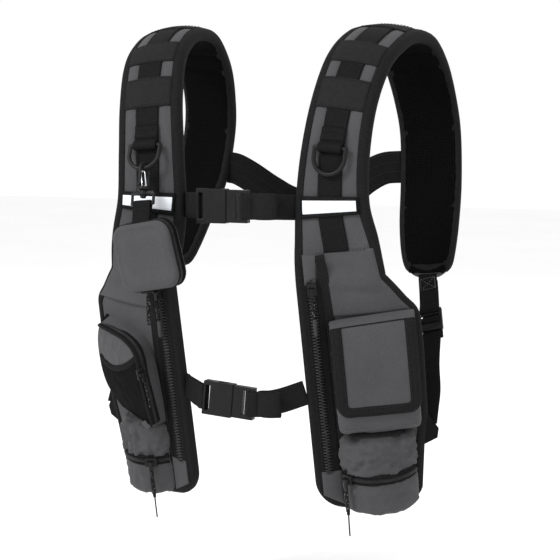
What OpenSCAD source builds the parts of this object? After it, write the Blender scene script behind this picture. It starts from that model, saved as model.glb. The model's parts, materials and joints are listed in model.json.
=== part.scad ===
// Vest-type field harness. Two padded loops go over the shoulders: each has a front panel
// with pockets, a strap over the shoulder and a rear pad. A chest strap and a waist strap
// with side-release buckles join the loops in front, and one webbing joins them behind.
// The frame's origin is midway between the loops, level with the underside of the pads at
// the top of the shoulders. +X is the wearer's left, -Y is forward, +Z is up.

/* [Pads] */
// Thickness of the padding
pad_t = 12; // [9:0.5:13]
// Rise of the strap's middle over its edges
pad_crown = 3; // [1:0.5:4]
// Thickness of the mesh lining on the wearer's side
lining_t = 2; // [1:0.5:3]

/* [Webbing] */
// Width of the webbing along each shoulder
centre_w = 25; // [22:1:27]
// Width of the webbing across the back
back_w = 34; // [25:1:40]
// Width of the chest and waist straps
front_w = 25; // [20:1:26]
// Width of the side adjusters
side_w = 20; // [15:1:21]
// Thickness of all webbing
web_t = 1.6; // [1.2:0.1:1.7]

/* [Front panels] */
// Forward lean of the front panels in degrees
panel_lean = 15; // [14:0.5:16]
// Outward turn of the front panels in degrees
panel_turn = 22.5; // [21.5:0.5:23.5]
// Top of the long zip's run, over the panel's centre
zip_top = 124; // [118:1:125]
// Bottom of the long zip's run
zip_bottom = -75; // [-80:1:-60]

/* [Pockets] */
// Depth of the pocket under the flap
flap_pocket_depth = 24; // [16:1:26]
// Radius of the front of the lower pockets
lower_r = 42; // [41:0.5:43]
// Depth of the hanging pouch
pouch_depth = 22; // [18:1:23]

/* [Metal and plastic parts] */
// Thickness of the D-ring's wire
ring_wire = 4.4; // [3.6:0.2:4.6]
// Outward tilt of the D-ring that carries the pouch
hook_ring_tilt = 20; // [19:0.5:21]
// Clearance between moving parts
gap = 0.4; // [0.3:0.05:0.5]

/* [Hidden] */
$fn = 48;
fabric_grey = "#4c4c4e";
webbing_black = "#1d1d1f";
mesh_black = "#101012";
plastic_black = "#232325";
steel = "#c8cacc";

// ---------- Vectors and curves ----------
function unit(v) = v / norm(v);
function curve(a, b, c, d, t) =
    0.5 * (2 * b + (c - a) * t + (2 * a - 5 * b + 4 * c - d) * t * t
           + (3 * b - a - 3 * c + d) * t * t * t);
// Entry k of a list, carried on in a straight line past both ends
function entry(list, k) =
    let (n = len(list) - 1)
    k < 0 ? 2 * list[0] - list[1] : k > n ? 2 * list[n] - list[n - 1] : list[k];
// The smooth curve through a list's entries, at entry number s
function along(list, s) =
    let (i = max(0, min(floor(s), len(list) - 2)))
    curve(entry(list, i - 1), entry(list, i), entry(list, i + 1), entry(list, i + 2), s - i);
function arc(centre, r, from, to, steps = 8) =
    [for (i = [0:steps]) let (a = from + (to - from) * i / steps)
        centre + r * [cos(a), sin(a)]];

// ---------- The planar frame of the front panel ----------
panel_at = [118, -122, -360];
panel_x = [cos(panel_turn), sin(panel_turn) * cos(panel_lean),
           sin(panel_turn) * sin(panel_lean)];
panel_y = [0, -sin(panel_lean), cos(panel_lean)];
panel_top = 128;
panel_inner = -54;
panel_outer = 60;
face = pad_t / 2;
module on_panel() {
    translate(panel_at) rotate([90 + panel_lean, 0, 0]) rotate([0, panel_turn, 0])
        children();
}
module on_side(side) { mirror([side < 0 ? 1 : 0, 0, 0]) children(); }
// Places children with their origin at p and their x and y axes along two unit vectors
module in_axes(p, x, y) {
    z = cross(x, y);
    multmatrix([[x[0], y[0], z[0], p[0]], [x[1], y[1], z[1], p[1]],
                [x[2], y[2], z[2], p[2]], [0, 0, 0, 1]]) children();
}

// ---------- The curved surface of the shoulder strap ----------
// Stations from the panel's top over the shoulder to the rear pad's end: x, y, z, turn
// about z and side slope in degrees, half width on the inner and on the outer side
strap_start = panel_at - 11 * panel_x + panel_top * panel_y;
stations = [
    concat(strap_start, [atan2(panel_x[1], panel_x[0]), asin(panel_x[2]), 43, 46]),
    [105, -157.5, -205, 9, 1, 43, 42],
    [100, -157, -165, 1, 0, 38.5, 37.5],
    [101, -154.5, -115, -1, -1, 35.5, 35.5],
    [106, -144, -65, -2, -4, 34, 34],
    [112, -121, -24, -2, -7, 33.5, 34],
    [117, -85, -2, 0, -7, 33.5, 34],
    [120, -45, 6, 3, -4, 33.5, 34],
    [123, -4, 0, 8, -4, 33.5, 34],
    [125, 32, -26, 12, -3, 33.5, 33.5],
    [128, 54, -60, 13, -1, 33, 32.5],
    [132, 62, -98, 10, 0, 33, 32],
    [137, 50, -150, 9, 0, 33, 32],
    [143.5, 24, -192, 8, 0, 32, 31],
    [148, 7, -222, 7, 0, 29, 28],
    [150, -1, -238, 6, 0, 24, 24],
    [151, -5, -246, 6, 0, 14, 14]];
last = len(stations) - 1;
function at(s) = let (v = along(stations, s)) [v[0], v[1], v[2]];
function strap_dir(s) = unit(at(min(s + 0.02, last)) - at(max(s - 0.02, 0)));
function strap_side(s) =
    let (v = along(stations, s), t = strap_dir(s),
         w = [cos(v[3]) * cos(v[4]), sin(v[3]) * cos(v[4]), sin(v[4])])
    unit(w - t * (w * t));
function strap_out(s) = cross(strap_side(s), strap_dir(s));
function half_width(s, u) = along(stations, s)[u < 0 ? 5 : 6];
// Point at station s, u from -1 (inner edge) to 1 (outer edge), h above the mid layer
function surf(s, u, h) =
    at(s) + strap_side(s) * u * half_width(s, u)
    + strap_out(s) * (h + pad_crown * min(1, s / 1.5) * (1 - u * u));
// The same with the place across the strap in millimetres
function surf_mm(s, x, h) = surf(s, x / half_width(s, x), h);
module on_strap(s, h) { in_axes(surf(s, 0, h), strap_side(s), strap_dir(s)) children(); }

// ---------- Lofted solids ----------
// Each ring runs clockwise when seen looking along the loft, and has an even number of
// points, so that strips of triangles close both ends
module loft(rings) {
    m = len(rings[0]);
    n = len(rings) - 1;
    end = n * m;
    polyhedron(
        points = [for (ring = rings) each ring],
        faces = concat(
            [for (i = [0:m / 2 - 2]) each [[i, i + 1, m - 1 - i], [i + 1, m - 2 - i, m - 1 - i]]],
            [for (i = [0:m / 2 - 2]) each [[end + m - 1 - i, end + i + 1, end + i],
                                           [end + m - 1 - i, end + m - 2 - i, end + i + 1]]],
            [for (j = [0:n - 1], i = [0:m - 1])
                [j * m + i, (j + 1) * m + i, (j + 1) * m + (i + 1) % m]],
            [for (j = [0:n - 1], i = [0:m - 1])
                [j * m + i, (j + 1) * m + (i + 1) % m, j * m + (i + 1) % m]]),
        convexity = 6);
}
// A layer on the strap from station s0 to s1, between two heights, over the whole
// width times k
module layer(s0, s1, step, k, h0, h1, across = 6) {
    loft([for (s = [s0:step:s1 + 0.001]) concat(
        [for (i = [0:across]) surf(s, k * (2 * i / across - 1), h1)],
        [for (i = [across:-1:0]) surf(s, k * (2 * i / across - 1), h0)])]);
}
// Webbing of width w that lies along the strap
module strap_webbing(s0, s1, step, w, h0, h1) {
    loft([for (s = [s0:step:s1 + 0.001]) [
        surf_mm(s, -w / 2, h1), surf_mm(s, 0, h1), surf_mm(s, w / 2, h1),
        surf_mm(s, w / 2, h0), surf_mm(s, 0, h0), surf_mm(s, -w / 2, h0)]]);
}
// Free webbing through a list of points, with its width along the direction side
module free_webbing(points, side, w, steps = 4, t = web_t) {
    n = (len(points) - 1) * steps;
    loft([for (j = [0:n])
        let (s = j / steps, p = along(points, s),
             d = unit(along(points, s + 0.05) - along(points, s - 0.05)),
             x = unit(side - d * (side * d)), z = cross(x, d))
        [p - x * w / 2 + z * t / 2, p + x * w / 2 + z * t / 2,
         p + x * w / 2 - z * t / 2, p - x * w / 2 - z * t / 2]]);
}
// A cord along a list of points, with a radius for each point
module cord(points, radii, sides = 8, steps = 3) {
    n = (len(points) - 1) * steps;
    loft([for (j = [0:n])
        let (s = j / steps, p = along(points, s), r = along(radii, s),
             d = unit(along(points, s + 0.05) - along(points, s - 0.05)),
             x = unit([1, 0, 0] - d * d[0]), z = cross(x, d))
        [for (i = [0:sides - 1]) let (a = -360 * i / sides)
            p + r * (x * cos(a) + z * sin(a))]]);
}

// ---------- Shoulder loops ----------
// The pad starts square on the panel's top edge, a hair above it
panel_z = cross(panel_x, panel_y);
function pad_point(s, u, h) = s > 0 ? surf(s, u, h)
    : strap_start + panel_x * u * half_width(0, u) + panel_y * 0.1 + panel_z * h;
module shoulder_pad() {
    color(webbing_black) loft([for (s = [0:0.25:last]) concat(
        [for (i = [-3:3]) pad_point(s, i / 3, face)],
        [for (i = [3:-1:-3]) pad_point(s, i / 3, -face)])]);
}
lining_gap = 0.3;
module pad_lining() {
    color(mesh_black)
        layer(0.5, last - 0.5, 0.25, 0.86,
              -pad_t / 2 - lining_gap - lining_t, -pad_t / 2 - lining_gap);
}
web_h = pad_t / 2 + 0.3;
band_h = web_h + web_t + 0.4;
band_t = 1.2;
ring_s = 3.13;
ring_r = ring_wire / 2;
ring_half = 16.5;
ring_leg = 9.7;
keeper_r = 4;
ring_h = web_h + web_t + keeper_r + 0.2;
module centre_webbing() {
    color(webbing_black) {
        strap_webbing(1, last - 2, 0.25, centre_w, web_h, web_h + web_t);
        // The fold of webbing that holds the D-ring's bar
        on_strap(ring_s, ring_h) difference() {
            union() {
                rotate([0, 90, 0]) cylinder(r = keeper_r, h = centre_w, center = true);
                translate([-centre_w / 2, 0, -keeper_r]) cube([centre_w, 11, 2.4]);
            }
            rotate([0, 90, 0]) cylinder(r = ring_r + gap, h = centre_w + 2, center = true);
        }
    }
}
// Pairs of stations between which a wide band crosses the strap
bands = [[3.875, 4.5], [4.875, 5.5], [6.5, 7.125], [7.875, 8.5], [9.5, 10]];
module cross_bands() {
    color(webbing_black)
        for (b = bands) layer(b[0], b[1], 0.125, 0.82, band_h, band_h + band_t);
}
// A strip of webbing across the strap, with a narrower reflective tape sewn on it
tape_rise = 0.5;
module reflective_strip() {
    color(webbing_black) layer(1.8, 2.2, 0.2, 0.8, band_h, band_h + band_t, 8);
    color("#d9dbde")
        layer(1.88, 2.12, 0.12, 0.76, band_h + tape_rise, band_h + band_t + tape_rise, 8);
}
// Origin at the bar's axis. The ring hangs down -y, and tilt lifts it off the strap
module d_ring(tilt) {
    color(plastic_black) on_strap(ring_s, ring_h) rotate([-tilt, 0, 0]) {
        rotate([0, 90, 0]) cylinder(r = ring_r, h = 2 * ring_half, center = true, $fn = 32);
        for (x = [-ring_half, ring_half]) {
            translate([x, 0, 0]) sphere(r = ring_r, $fn = 32);
            translate([x, 0, 0]) rotate([90, 0, 0]) cylinder(r = ring_r, h = ring_leg, $fn = 32);
        }
        translate([0, -ring_leg, 0]) rotate([0, 0, 180]) rotate_extrude(angle = 180)
            translate([ring_half, 0]) circle(r = ring_r, $fn = 32);
    }
}

// ---------- Front panels ----------
panel_bottom = -122;
corner_r = 32;
panel_outline = concat(
    [[panel_inner, panel_top]],
    arc([panel_inner + corner_r, panel_bottom + corner_r], corner_r, 180, 270),
    arc([panel_outer - 26, panel_bottom + 22], 22, 270, 340),
    [[panel_outer, -60], [panel_outer + 6, -25], [panel_outer + 7, 50], [panel_outer + 6, 84],
     [panel_outer + 3, 92], [55, 101], [45, 115], [35, panel_top]]);
module front_panel() {
    color(fabric_grey) on_panel() translate([0, 0, -face]) linear_extrude(pad_t)
        polygon(panel_outline);
}
zip_x = -39.5;
tape_t = 1.2;
teeth_t = 1.8;
teeth_w = 5.8;
module front_zip() {
    on_panel() translate([zip_x, zip_bottom - 2, face]) {
        color(webbing_black) translate([-10.5, 0, 0]) cube([22, panel_top - zip_bottom, tape_t]);
        color(plastic_black) translate([-teeth_w / 2, 2, tape_t])
            cube([teeth_w, panel_top - zip_bottom - 6, teeth_t]);
        // Piece of cloth below the zip, cut to the panel's round corner
        color(fabric_grey) linear_extrude(tape_t)
            polygon([[-8, -0.5], [-8, -27], [13.1, -39], [13.1, -0.5]]);
    }
}

// ---------- Zip sliders, pullers and their cords ----------
// A slider stands on the panel's or pocket's face at z = 0, over teeth that run along y
slider_z = tape_t + teeth_t + gap;
slider_t = 1.6;
pin_z = slider_z + slider_t + 1.9;
module slider() {
    color(plastic_black) {
        translate([-4.8, -6.5, slider_z]) cube([9.6, 13, slider_t]);
        for (x = [-4.8, teeth_w / 2 + gap]) translate([x, -6.5, tape_t + gap])
            cube([4.8 - teeth_w / 2 - gap, 13, slider_z - tape_t - gap]);
        for (x = [-3.6, 2.4]) translate([x, -1.6, slider_z + slider_t])
            cube([1.2, 3.2, 3.1]);
        translate([0, 0, pin_z]) rotate([0, 90, 0])
            cylinder(r = 0.8, h = 5.4, center = true, $fn = 24);
    }
}
// The flat link that hangs on the slider's pin, origin at the pin's axis
puller_len = 9;
module puller() {
    color(plastic_black) difference() {
        union() {
            rotate([0, 90, 0]) cylinder(r = 1.7, h = 4, center = true, $fn = 24);
            translate([-2, -puller_len, -0.8]) cube([4, puller_len - 1, 1.6]);
        }
        rotate([0, 90, 0]) cylinder(r = 1.15, h = 5, center = true, $fn = 24);
    }
}
// The pull cords hang from the pullers: a braided stretch, then a sleeve or a thin tail
braid_r = 2.2;
sleeve_route = [[0, 0, 0], [0, -3, 0], [0, -9, 0.3], [0, -15, 0.4], [0, -19, 0.2], [0, -22, 0],
                [0, -30, 0.4], [0, -40, 0.8]];
sleeve_radii = [1, braid_r, braid_r, braid_r, braid_r, 2.2, 2.2, 2.2];
tail_route = [[0, 0, 0], [0, -4, 0], [0, -12, 0.4], [0, -20, 0.2], [0, -27, 0], [0, -32, 0],
              [0, -42, 0.4], [0, -54, 0.8]];
tail_radii = [1, braid_r, braid_r, braid_r, braid_r, 0.9, 0.8, 0.8];
string_route = [[0, 0, 0], [0, -4, 0], [0, -10, 0.3], [0, -17, 0.4], [0, -24, 0.3], [0, -31, 0]];
string_radii = [1, 1.3, 1.2, 1.1, 1, 0.9];
module pull_cord(route, radii) {
    color(webbing_black) translate([0, -puller_len, 0]) cord(route, radii);
}
// The parts above are placed by the slider's rest place on each zip
right_zip_rest = 114;
module at_front_slider(y) {
    on_panel() translate([zip_x, y, face]) children();
}
module at_front_pin(y) { at_front_slider(y) translate([0, 0, pin_z]) children(); }

// ---------- Lower pockets ----------
// Each pocket's place across the panel, half width and radius: the right one is smaller
left_lower = [12, 38, lower_r];
right_lower = [8.5, 33, lower_r - 7];
lower_z = -4;
lower_bottom = -120;
lower_h = 82;
lower_zip_y = -79;
lower_zip_half = 58;
module at_lower_zip(pocket) {
    on_panel() translate([pocket[0], lower_zip_y, lower_z]) children();
}
module lower_band(pocket, r0, r1, half_w) {
    at_lower_zip(pocket) rotate([90, 0, 0]) rotate([0, 0, 90 - lower_zip_half])
        rotate_extrude(angle = 2 * lower_zip_half)
            translate([r0, -half_w]) square([r1 - r0, 2 * half_w]);
}
module lower_pocket(pocket) {
    x = pocket[0];
    half = pocket[1];
    r = pocket[2];
    color(fabric_grey) on_panel() intersection() {
        translate([x, lower_bottom + lower_h, lower_z]) rotate([90, 0, 0])
            cylinder(r = r, h = lower_h, $fn = 64);
        translate([x - half, lower_bottom, face]) cube([2 * half, lower_h, r]);
    }
    color(webbing_black) lower_band(pocket, r - 0.5, r + tape_t, 5);
    color(plastic_black) lower_band(pocket, r + 0.5, r + tape_t + 1, teeth_w / 2 - 0.5);
}
// Places children on a lower zip at an angle across the pocket, with y still upward
module at_lower_slider(pocket, angle) {
    at_lower_zip(pocket) rotate([0, angle, 0]) translate([0, 0, pocket[2]]) children();
}
module at_lower_pin(pocket, angle) {
    at_lower_slider(pocket, angle) translate([0, 0, pin_z]) children();
}
module lower_slider(pocket, angle) {
    at_lower_slider(pocket, angle) color(plastic_black) {
        translate([-6.5, -4.8, slider_z]) cube([13, 9.6, slider_t]);
        for (y = [-4.8, 3.4]) translate([-6.5, y, tape_t + gap])
            cube([13, 1.4, slider_z - tape_t - gap]);
        for (x = [-3.6, 2.4]) translate([x, -1.6, slider_z + slider_t]) cube([1.2, 3.2, 3.1]);
        translate([0, 0, pin_z]) rotate([0, 90, 0])
            cylinder(r = 0.8, h = 5.4, center = true, $fn = 24);
    }
}
left_lower_rest = -48;
right_lower_rest = -36;

// ---------- Pocket with a flap, wearer's left ----------
flap_x0 = -26;
flap_x1 = 58;
flap_y0 = -30;
flap_y1 = 90;
wall = 1.6;
flap_hinge_y = flap_y1 + 3.5;
flap_hinge_z = face + 2.5;
flap_face = face + flap_pocket_depth + 1.2;
flap_t = 1.8;
flap_left = -21;
flap_w = 81;
flap_low = -9;
module flap_pocket() {
    color(fabric_grey) on_panel() difference() {
        translate([flap_x0, flap_y0, face])
            cube([flap_x1 - flap_x0, flap_y1 - flap_y0, flap_pocket_depth]);
        translate([flap_x0 + wall, flap_y0 + wall, face + wall])
            cube([flap_x1 - flap_x0 - 2 * wall, flap_y1 - flap_y0, flap_pocket_depth - 2 * wall]);
    }
}
module pocket_flap() {
    flap_h = flap_hinge_y - flap_low;
    r = 14;
    color(fabric_grey) on_panel() {
        translate([flap_left, flap_low, flap_face]) linear_extrude(flap_t)
            polygon(concat([[0, flap_h]], arc([r, r], r, 180, 270),
                           arc([flap_w - r, r], r, 270, 360), [[flap_w, flap_h]]));
        translate([flap_left, flap_hinge_y - 1.5, flap_hinge_z])
            cube([flap_w, 1.5, flap_face - flap_hinge_z]);
    }
}

// ---------- Mesh pouch, wearer's right ----------
// Its foot on the panel and its face, which is deeper on the inner side: x, y, z
pouch_foot = [[52, 73], [4, 61], [-12, 50], [-20, 26], [-25, -35], [50, -35], [55, -20]];
pouch_face = [[53, 62, 19], [14, 60, 27], [-14, 52, 34], [-25, 38, 37], [-25, -34, 29],
              [44, -34, 10], [54, -10, 17]];
mesh_slider_y = 30;
mesh_slider_run = 58;
module mesh_pouch() {
    color(mesh_black) on_panel() hull() {
        translate([0, 0, face]) linear_extrude(0.5) polygon(pouch_foot);
        polyhedron(points = concat(pouch_face, [[10, 10, 20]]),
                   faces = concat([[for (i = [0:6]) i]], [for (i = [0:6]) [i, 7, (i + 1) % 7]]));
    }
}
// The pouch's zip runs down the inner edge of its face, and this is its frame
module at_mesh_zip(y) {
    on_panel() translate([-26.5, y, 33 + 0.11 * y]) rotate([6.3, 0, 0]) rotate([0, -90, 0])
        children();
}
module mesh_slider() {
    at_mesh_zip(mesh_slider_y) color(plastic_black) {
        translate([-4.8, -6, 0]) cube([9.6, 12, 2]);
        for (x = [-3.6, 2.4]) translate([x, -1.6, 2]) cube([1.2, 3.2, 3.1]);
        translate([0, 0, 3.9]) rotate([0, 90, 0])
            cylinder(r = 0.8, h = 5.4, center = true, $fn = 24);
    }
}
module at_mesh_pin() { at_mesh_zip(mesh_slider_y) translate([0, 0, 3.9]) children(); }

// ---------- Side adjusters ----------
// The lock's top bar, the way its plate hangs, and the way across the webbing
lock_at = [160, -26, -281];
lock_dir = unit([0.24, -0.46, -0.86]);
side_dir = unit([1, 0.05, 0.25]);
lock_x = unit(side_dir - lock_dir * (side_dir * lock_dir));
lock_w = 26;
lock_h = 23;
lock_t = 3.2;
bar_r = 1.6;
module on_lock() { in_axes(lock_at, lock_x, -lock_dir) children(); }
module ladder_lock() {
    color(plastic_black) on_lock() {
        rotate([0, 90, 0]) cylinder(r = bar_r, h = lock_w - 1, center = true, $fn = 24);
        difference() {
            translate([-lock_w / 2, -lock_h, -lock_t / 2]) cube([lock_w, lock_h, lock_t]);
            for (y = [-9.2, -15.4]) translate([-side_w / 2 - 0.5, y, -lock_t])
                cube([side_w + 1, 3.6, 2 * lock_t]);
            translate([-side_w / 2 - 0.5, -4.4, -lock_t])
                cube([side_w + 1, 8, 2 * lock_t]);
        }
    }
}
loop_r = 2.9;
module side_webbing() {
    color(webbing_black) {
        // Upper tab, sewn to the rear pad's end and folded round the lock's top bar
        free_webbing([[151.4, -6.6, -248], [154.5, -13.5, -260], [158, -21.5, -274.5]],
                     side_dir, side_w);
        on_lock() difference() {
            rotate([0, 90, 0]) cylinder(r = loop_r, h = side_w - 0.6, center = true);
            rotate([0, 90, 0]) cylinder(r = bar_r + gap, h = side_w + 2, center = true);
        }
        // Lower strap, from below the lock to the panel's outer edge
        free_webbing([lock_at + (lock_h + 1.2) * lock_dir, [171, -57, -333], [176.6, -70.8, -358],
                      [181.2, -78.2, -375.8], [185.7, -82.6, -387.6]], side_dir, side_w);
        // Triangular tab that is sewn into the edge of the panel
        on_panel() translate([panel_outer + 0.5, -50, -1.5]) linear_extrude(3)
            polygon([[0, -10], [5.8, 24], [16, 6], [14, -4]]);
    }
}

// ---------- Snap hook, swivel and hanging pouch, wearer's right ----------
hook_back_tilt = -19;
hook_side_tilt = -5;
hook_twist = -30;
hook_r = 1.5;
hook_bend = 5.4;
spine_len = 22;
ring_drop = ring_leg + ring_half;
// The lowest point of the tilted D-ring's wire, mirrored to the wearer's right
ring_low = surf(ring_s, 0, ring_h)
    + ring_drop * (strap_out(ring_s) * sin(hook_ring_tilt)
                   - strap_dir(ring_s) * cos(hook_ring_tilt));
hook_at = [3.5 - ring_low[0], ring_low[1], ring_low[2] + 0.6];
module on_hook() {
    translate(hook_at) rotate([hook_back_tilt, hook_side_tilt, 0]) children();
}
module snap_hook() {
    color(plastic_black) on_hook() {
        rotate([0, 0, hook_twist]) {
            // Bend over the ring, then the nose arm in front and the spine behind
            rotate([90, 0, -90]) rotate_extrude(angle = 180)
                translate([hook_bend, 0]) circle(r = hook_r, $fn = 24);
            translate([0, -hook_bend, -17]) cylinder(r = hook_r, h = 17, $fn = 24);
            translate([0, -hook_bend, -18]) sphere(r = 2.3, $fn = 24);
            translate([0, hook_bend, -spine_len]) cylinder(r = hook_r, h = spine_len, $fn = 24);
        }
        translate([0, 0, -24]) cylinder(r = 6.6, h = 3, $fn = 32);
        // Swivel pin and its head
        translate([0, 0, -30]) cylinder(r = 1.6, h = 6.5, $fn = 24);
        translate([0, 0, -31.6]) cylinder(r = 3, h = 1.8, $fn = 24);
    }
}
gate_z = -19.6;
gate_y = 0.4;
gate_half = 3.4;
gate_r = 0.7;
gate_len = 16;
gate_lean = 10;
module snap_hook_gate() {
    color(steel) on_hook() rotate([0, 0, hook_twist]) translate([0, gate_y, gate_z])
        rotate([gate_lean, 0, 0]) {
            for (x = [-gate_half, gate_half]) {
                translate([x, 0, 0]) cylinder(r = gate_r, h = gate_len - gate_half, $fn = 16);
                translate([x, 0, 0]) sphere(r = gate_r, $fn = 16);
            }
            rotate([0, 90, 0]) cylinder(r = gate_r, h = 2 * gate_half, center = true, $fn = 16);
            translate([0, 0, gate_len - gate_half]) rotate([90, 0, 0]) rotate_extrude(angle = 180)
                translate([gate_half, 0]) circle(r = gate_r, $fn = 16);
        }
}
loop_half = 12;
loop_z = -38;
loop_wire = 1.5;
swivel_z = -29.4;
module swivel_loop() {
    color(plastic_black) on_hook() {
        difference() {
            union() {
                translate([0, 0, swivel_z]) cylinder(r = 4.2, h = 5, $fn = 32);
                translate([-loop_half, -1.5, swivel_z + 1]) cube([2 * loop_half, 3, 3]);
            }
            translate([0, 0, swivel_z - 1]) cylinder(r = 2, h = 7, $fn = 32);
        }
        for (x = [-loop_half, loop_half]) translate([x, 0, loop_z]) {
            cylinder(r = loop_wire, h = swivel_z + 2.5 - loop_z, $fn = 24);
            sphere(r = loop_wire, $fn = 24);
        }
        translate([0, 0, loop_z]) rotate([0, 90, 0])
            cylinder(r = loop_wire, h = 2 * loop_half, center = true, $fn = 24);
    }
}
pouch_at = [-85.5, -207, -218];
pouch_w = 72;
pouch_h = 70;
pouch_r = 15;
stub_len = 22;
module on_pouch() { translate(pouch_at) rotate([98, 0, -10]) rotate([0, 0, 10]) children(); }
// Outline of the pouch at a distance inside its widest line
function pouch_outline(inset) =
    let (w = pouch_w / 2 - inset, h = pouch_h / 2 - inset, r = pouch_r - inset * 0.7)
    concat(arc([w - r, h - r], r, 0, 90), arc([r - w, h - r], r, 90, 180),
           arc([r - w, r - h], r, 180, 270), arc([w - r, r - h], r, 270, 360));
// Depth behind the front face and inset of each outline, from the back to the front
pouch_layers = [[-pouch_depth, 4], [-pouch_depth + 1.5, 1.5], [-pouch_depth + 5, 0], [-7, 0],
                [-3, 1.5], [0, 5]];
module hanging_pouch() {
    color(fabric_grey) on_pouch() loft([for (l = pouch_layers)
        [for (p = pouch_outline(l[1])) [p[0], p[1], l[0]]]]);
    color(webbing_black) {
        // Webbing stub that holds the pouch on the swivel loop
        on_hook() difference() {
            union() {
                translate([0, 0, loop_z]) rotate([0, 90, 0])
                    cylinder(r = loop_wire + 1.8, h = 19, center = true);
                translate([-9.5, -1.6, loop_z - stub_len]) cube([19, 3.2, stub_len - 1.5]);
            }
            translate([0, 0, loop_z]) rotate([0, 90, 0])
                cylinder(r = loop_wire + gap, h = 21, center = true);
        }
    }
}
// The pouch's zip goes round its side, and the slider rests below it on the straight edge.
// Here y runs along the zip and z points down, out of the pouch
pouch_slider_x = -12;
module on_pouch_zip() {
    on_pouch() translate([pouch_slider_x, -pouch_h / 2 - 0.3, -9]) rotate([90, 0, 0])
        rotate([0, 0, 90]) children();
}
pouch_cord_route = [[0, 0, 0], [0.7, 0.9, 5], [1.5, 1.9, 11], [2.3, 2.9, 17], [3.1, 3.9, 24],
                    [4, 5, 30.4]];
module hanging_pouch_slider() {
    color(plastic_black) on_pouch_zip() {
        translate([-4, -5.5, 0]) cube([8, 11, 2.2]);
        translate([-0.7, -1.5, 2.1]) cube([1.4, 3, 2.4]);
    }
}
module hanging_pouch_cord() {
    color(webbing_black) on_pouch_zip() translate([0, 0, 4.7])
        cord(pouch_cord_route, [1, braid_r, braid_r, braid_r, braid_r, 1.4]);
}

// ---------- Side-release buckles ----------
// x runs along the strap toward the wearer's left, y is up and z is forward. The mouth of
// the female half is at x = 0
body_w = 35;
body_t = 10.5;
female_l = 33;
cavity_w = 28;
cavity_t = 6.4;
cavity_l = 22;
male_l = 23;
prong_y = 9.5;
prong_t = 4.6;
prong_l = 17;
prong_pin_x = 2.6;
module female_half() {
    color(plastic_black) difference() {
        translate([-female_l, -body_w / 2, -body_t / 2]) cube([female_l, body_w, body_t]);
        translate([-cavity_l, -cavity_w / 2, -cavity_t / 2])
            cube([cavity_l + 1, cavity_w, cavity_t]);
        // Side windows for the prongs' thumb pads
        translate([-18, -body_w / 2 - 1, -cavity_t / 2]) cube([11, body_w + 2, cavity_t]);
        // Slot behind the bar for the webbing
        translate([-female_l + 3, -front_w / 2 - 0.5, -body_t]) cube([4.5, front_w + 1, 2 * body_t]);
    }
}
module male_half() {
    color(plastic_black) difference() {
        union() {
            translate([gap, -body_w / 2 + 1, -4.2]) cube([male_l - gap, body_w - 2, 8.4]);
            translate([-18, -2.2, -2]) cube([20, 4.4, 4]);
        }
        for (x = [10.5, 17]) translate([x, -front_w / 2 - 0.5, -6]) cube([3.4, front_w + 1, 12]);
        // Sockets in which the prongs' roots turn
        for (y = [-prong_y, prong_y]) translate([0, y, -prong_t / 2 - 0.3]) {
            translate([prong_pin_x, 0, 0]) cylinder(r = 2.8, h = prong_t + 0.6);
            translate([-1, -2.6, 0]) cube([prong_pin_x + 1, 5.2, prong_t + 0.6]);
        }
    }
}
// The upper prong. The lower one is its mirror image
module prong() {
    color(plastic_black) translate([0, prong_y, -prong_t / 2]) linear_extrude(prong_t)
        polygon(concat(
            arc([prong_pin_x, 0], 2.1, -60, 60),
            [[0, 1.4], [-7.6, 1.6], [-7.6, 6.4], [-10, 7.2], [-14.5, 6.4], [-prong_l, 3],
             [-prong_l, 0.4], [-14, -0.6], [0, -1.2]]));
}
// Folded webbing in a closed oval, x0 to x1, hanging in front of the strap
module rolled_tail(x0, x1, y, depth, w) {
    a = (x1 - x0) / 2;
    translate([(x0 + x1) / 2, y, -w / 2]) linear_extrude(w) difference() {
        polygon([for (i = [0:31]) [a * cos(i * 11.25), depth * sin(i * 11.25)]]);
        polygon([for (i = [0:31]) [(a - 2.6) * cos(i * 11.25), (depth - 2.6) * sin(i * 11.25)]]);
    }
}
chest_at = [-7, -174, -166];
chest_end = surf(2, -1, 0) - [0.5, 0, 0];
up = [0, 0, 1];
module on_chest() { translate(chest_at) rotate([90, 0, 0]) children(); }
module chest_strap_right() {
    e = [-chest_end[0], chest_end[1], chest_end[2]];
    color(webbing_black)
        free_webbing([e, [-50, -168, -166], [chest_at[0] - female_l - 0.5, -173.5, -166]],
                     up, front_w);
}
module chest_strap_left() {
    color(webbing_black) {
        free_webbing([[chest_at[0] + male_l + 0.5, -173.5, -166], [40, -171, -166], chest_end],
                     up, front_w);
        translate([0, 0, -165]) rolled_tail(24, 53, -182.5, 7.6, front_w);
    }
}
waist_at = [-5, -164, -366];
waist_roll = 5;
waist_end = panel_at + (panel_inner - 2.9) * panel_x + 10 * panel_y;
module on_waist() { translate(waist_at) rotate([0, waist_roll, 0]) rotate([90, 0, 0]) children(); }
module waist_strap_right() {
    e = [-waist_end[0], waist_end[1], waist_end[2]];
    color(webbing_black)
        free_webbing([e, [-56, -157, -360], [-47, -162, -362.3],
                      [waist_at[0] - female_l - 1.5, -164, -363]], up, front_w);
}
module waist_strap_left() {
    color(webbing_black) {
        free_webbing([[waist_at[0] + male_l + 1.5, -164, -367.8], [28, -163, -368],
                      [43, -158.5, -365], waist_end], up, front_w);
        translate([0, 0, -366]) rolled_tail(25, 52, -171.5, 7, front_w);
    }
}

// ---------- Back strap ----------
// Hangs slack between the inner edges of the rear pads
back_route = [[-100.5, 51, -138.6], [-92, 50.8, -140.5], [-75, 50.4, -149], [-50, 50, -164],
              [-25, 50, -176], [5, 50, -180], [35, 50, -168], [62, 50, -147],
              [82, 50.5, -136.5], [101, 51, -134.4]];
module back_strap() {
    color(webbing_black) free_webbing(back_route, up, back_w, 3);
}

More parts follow.
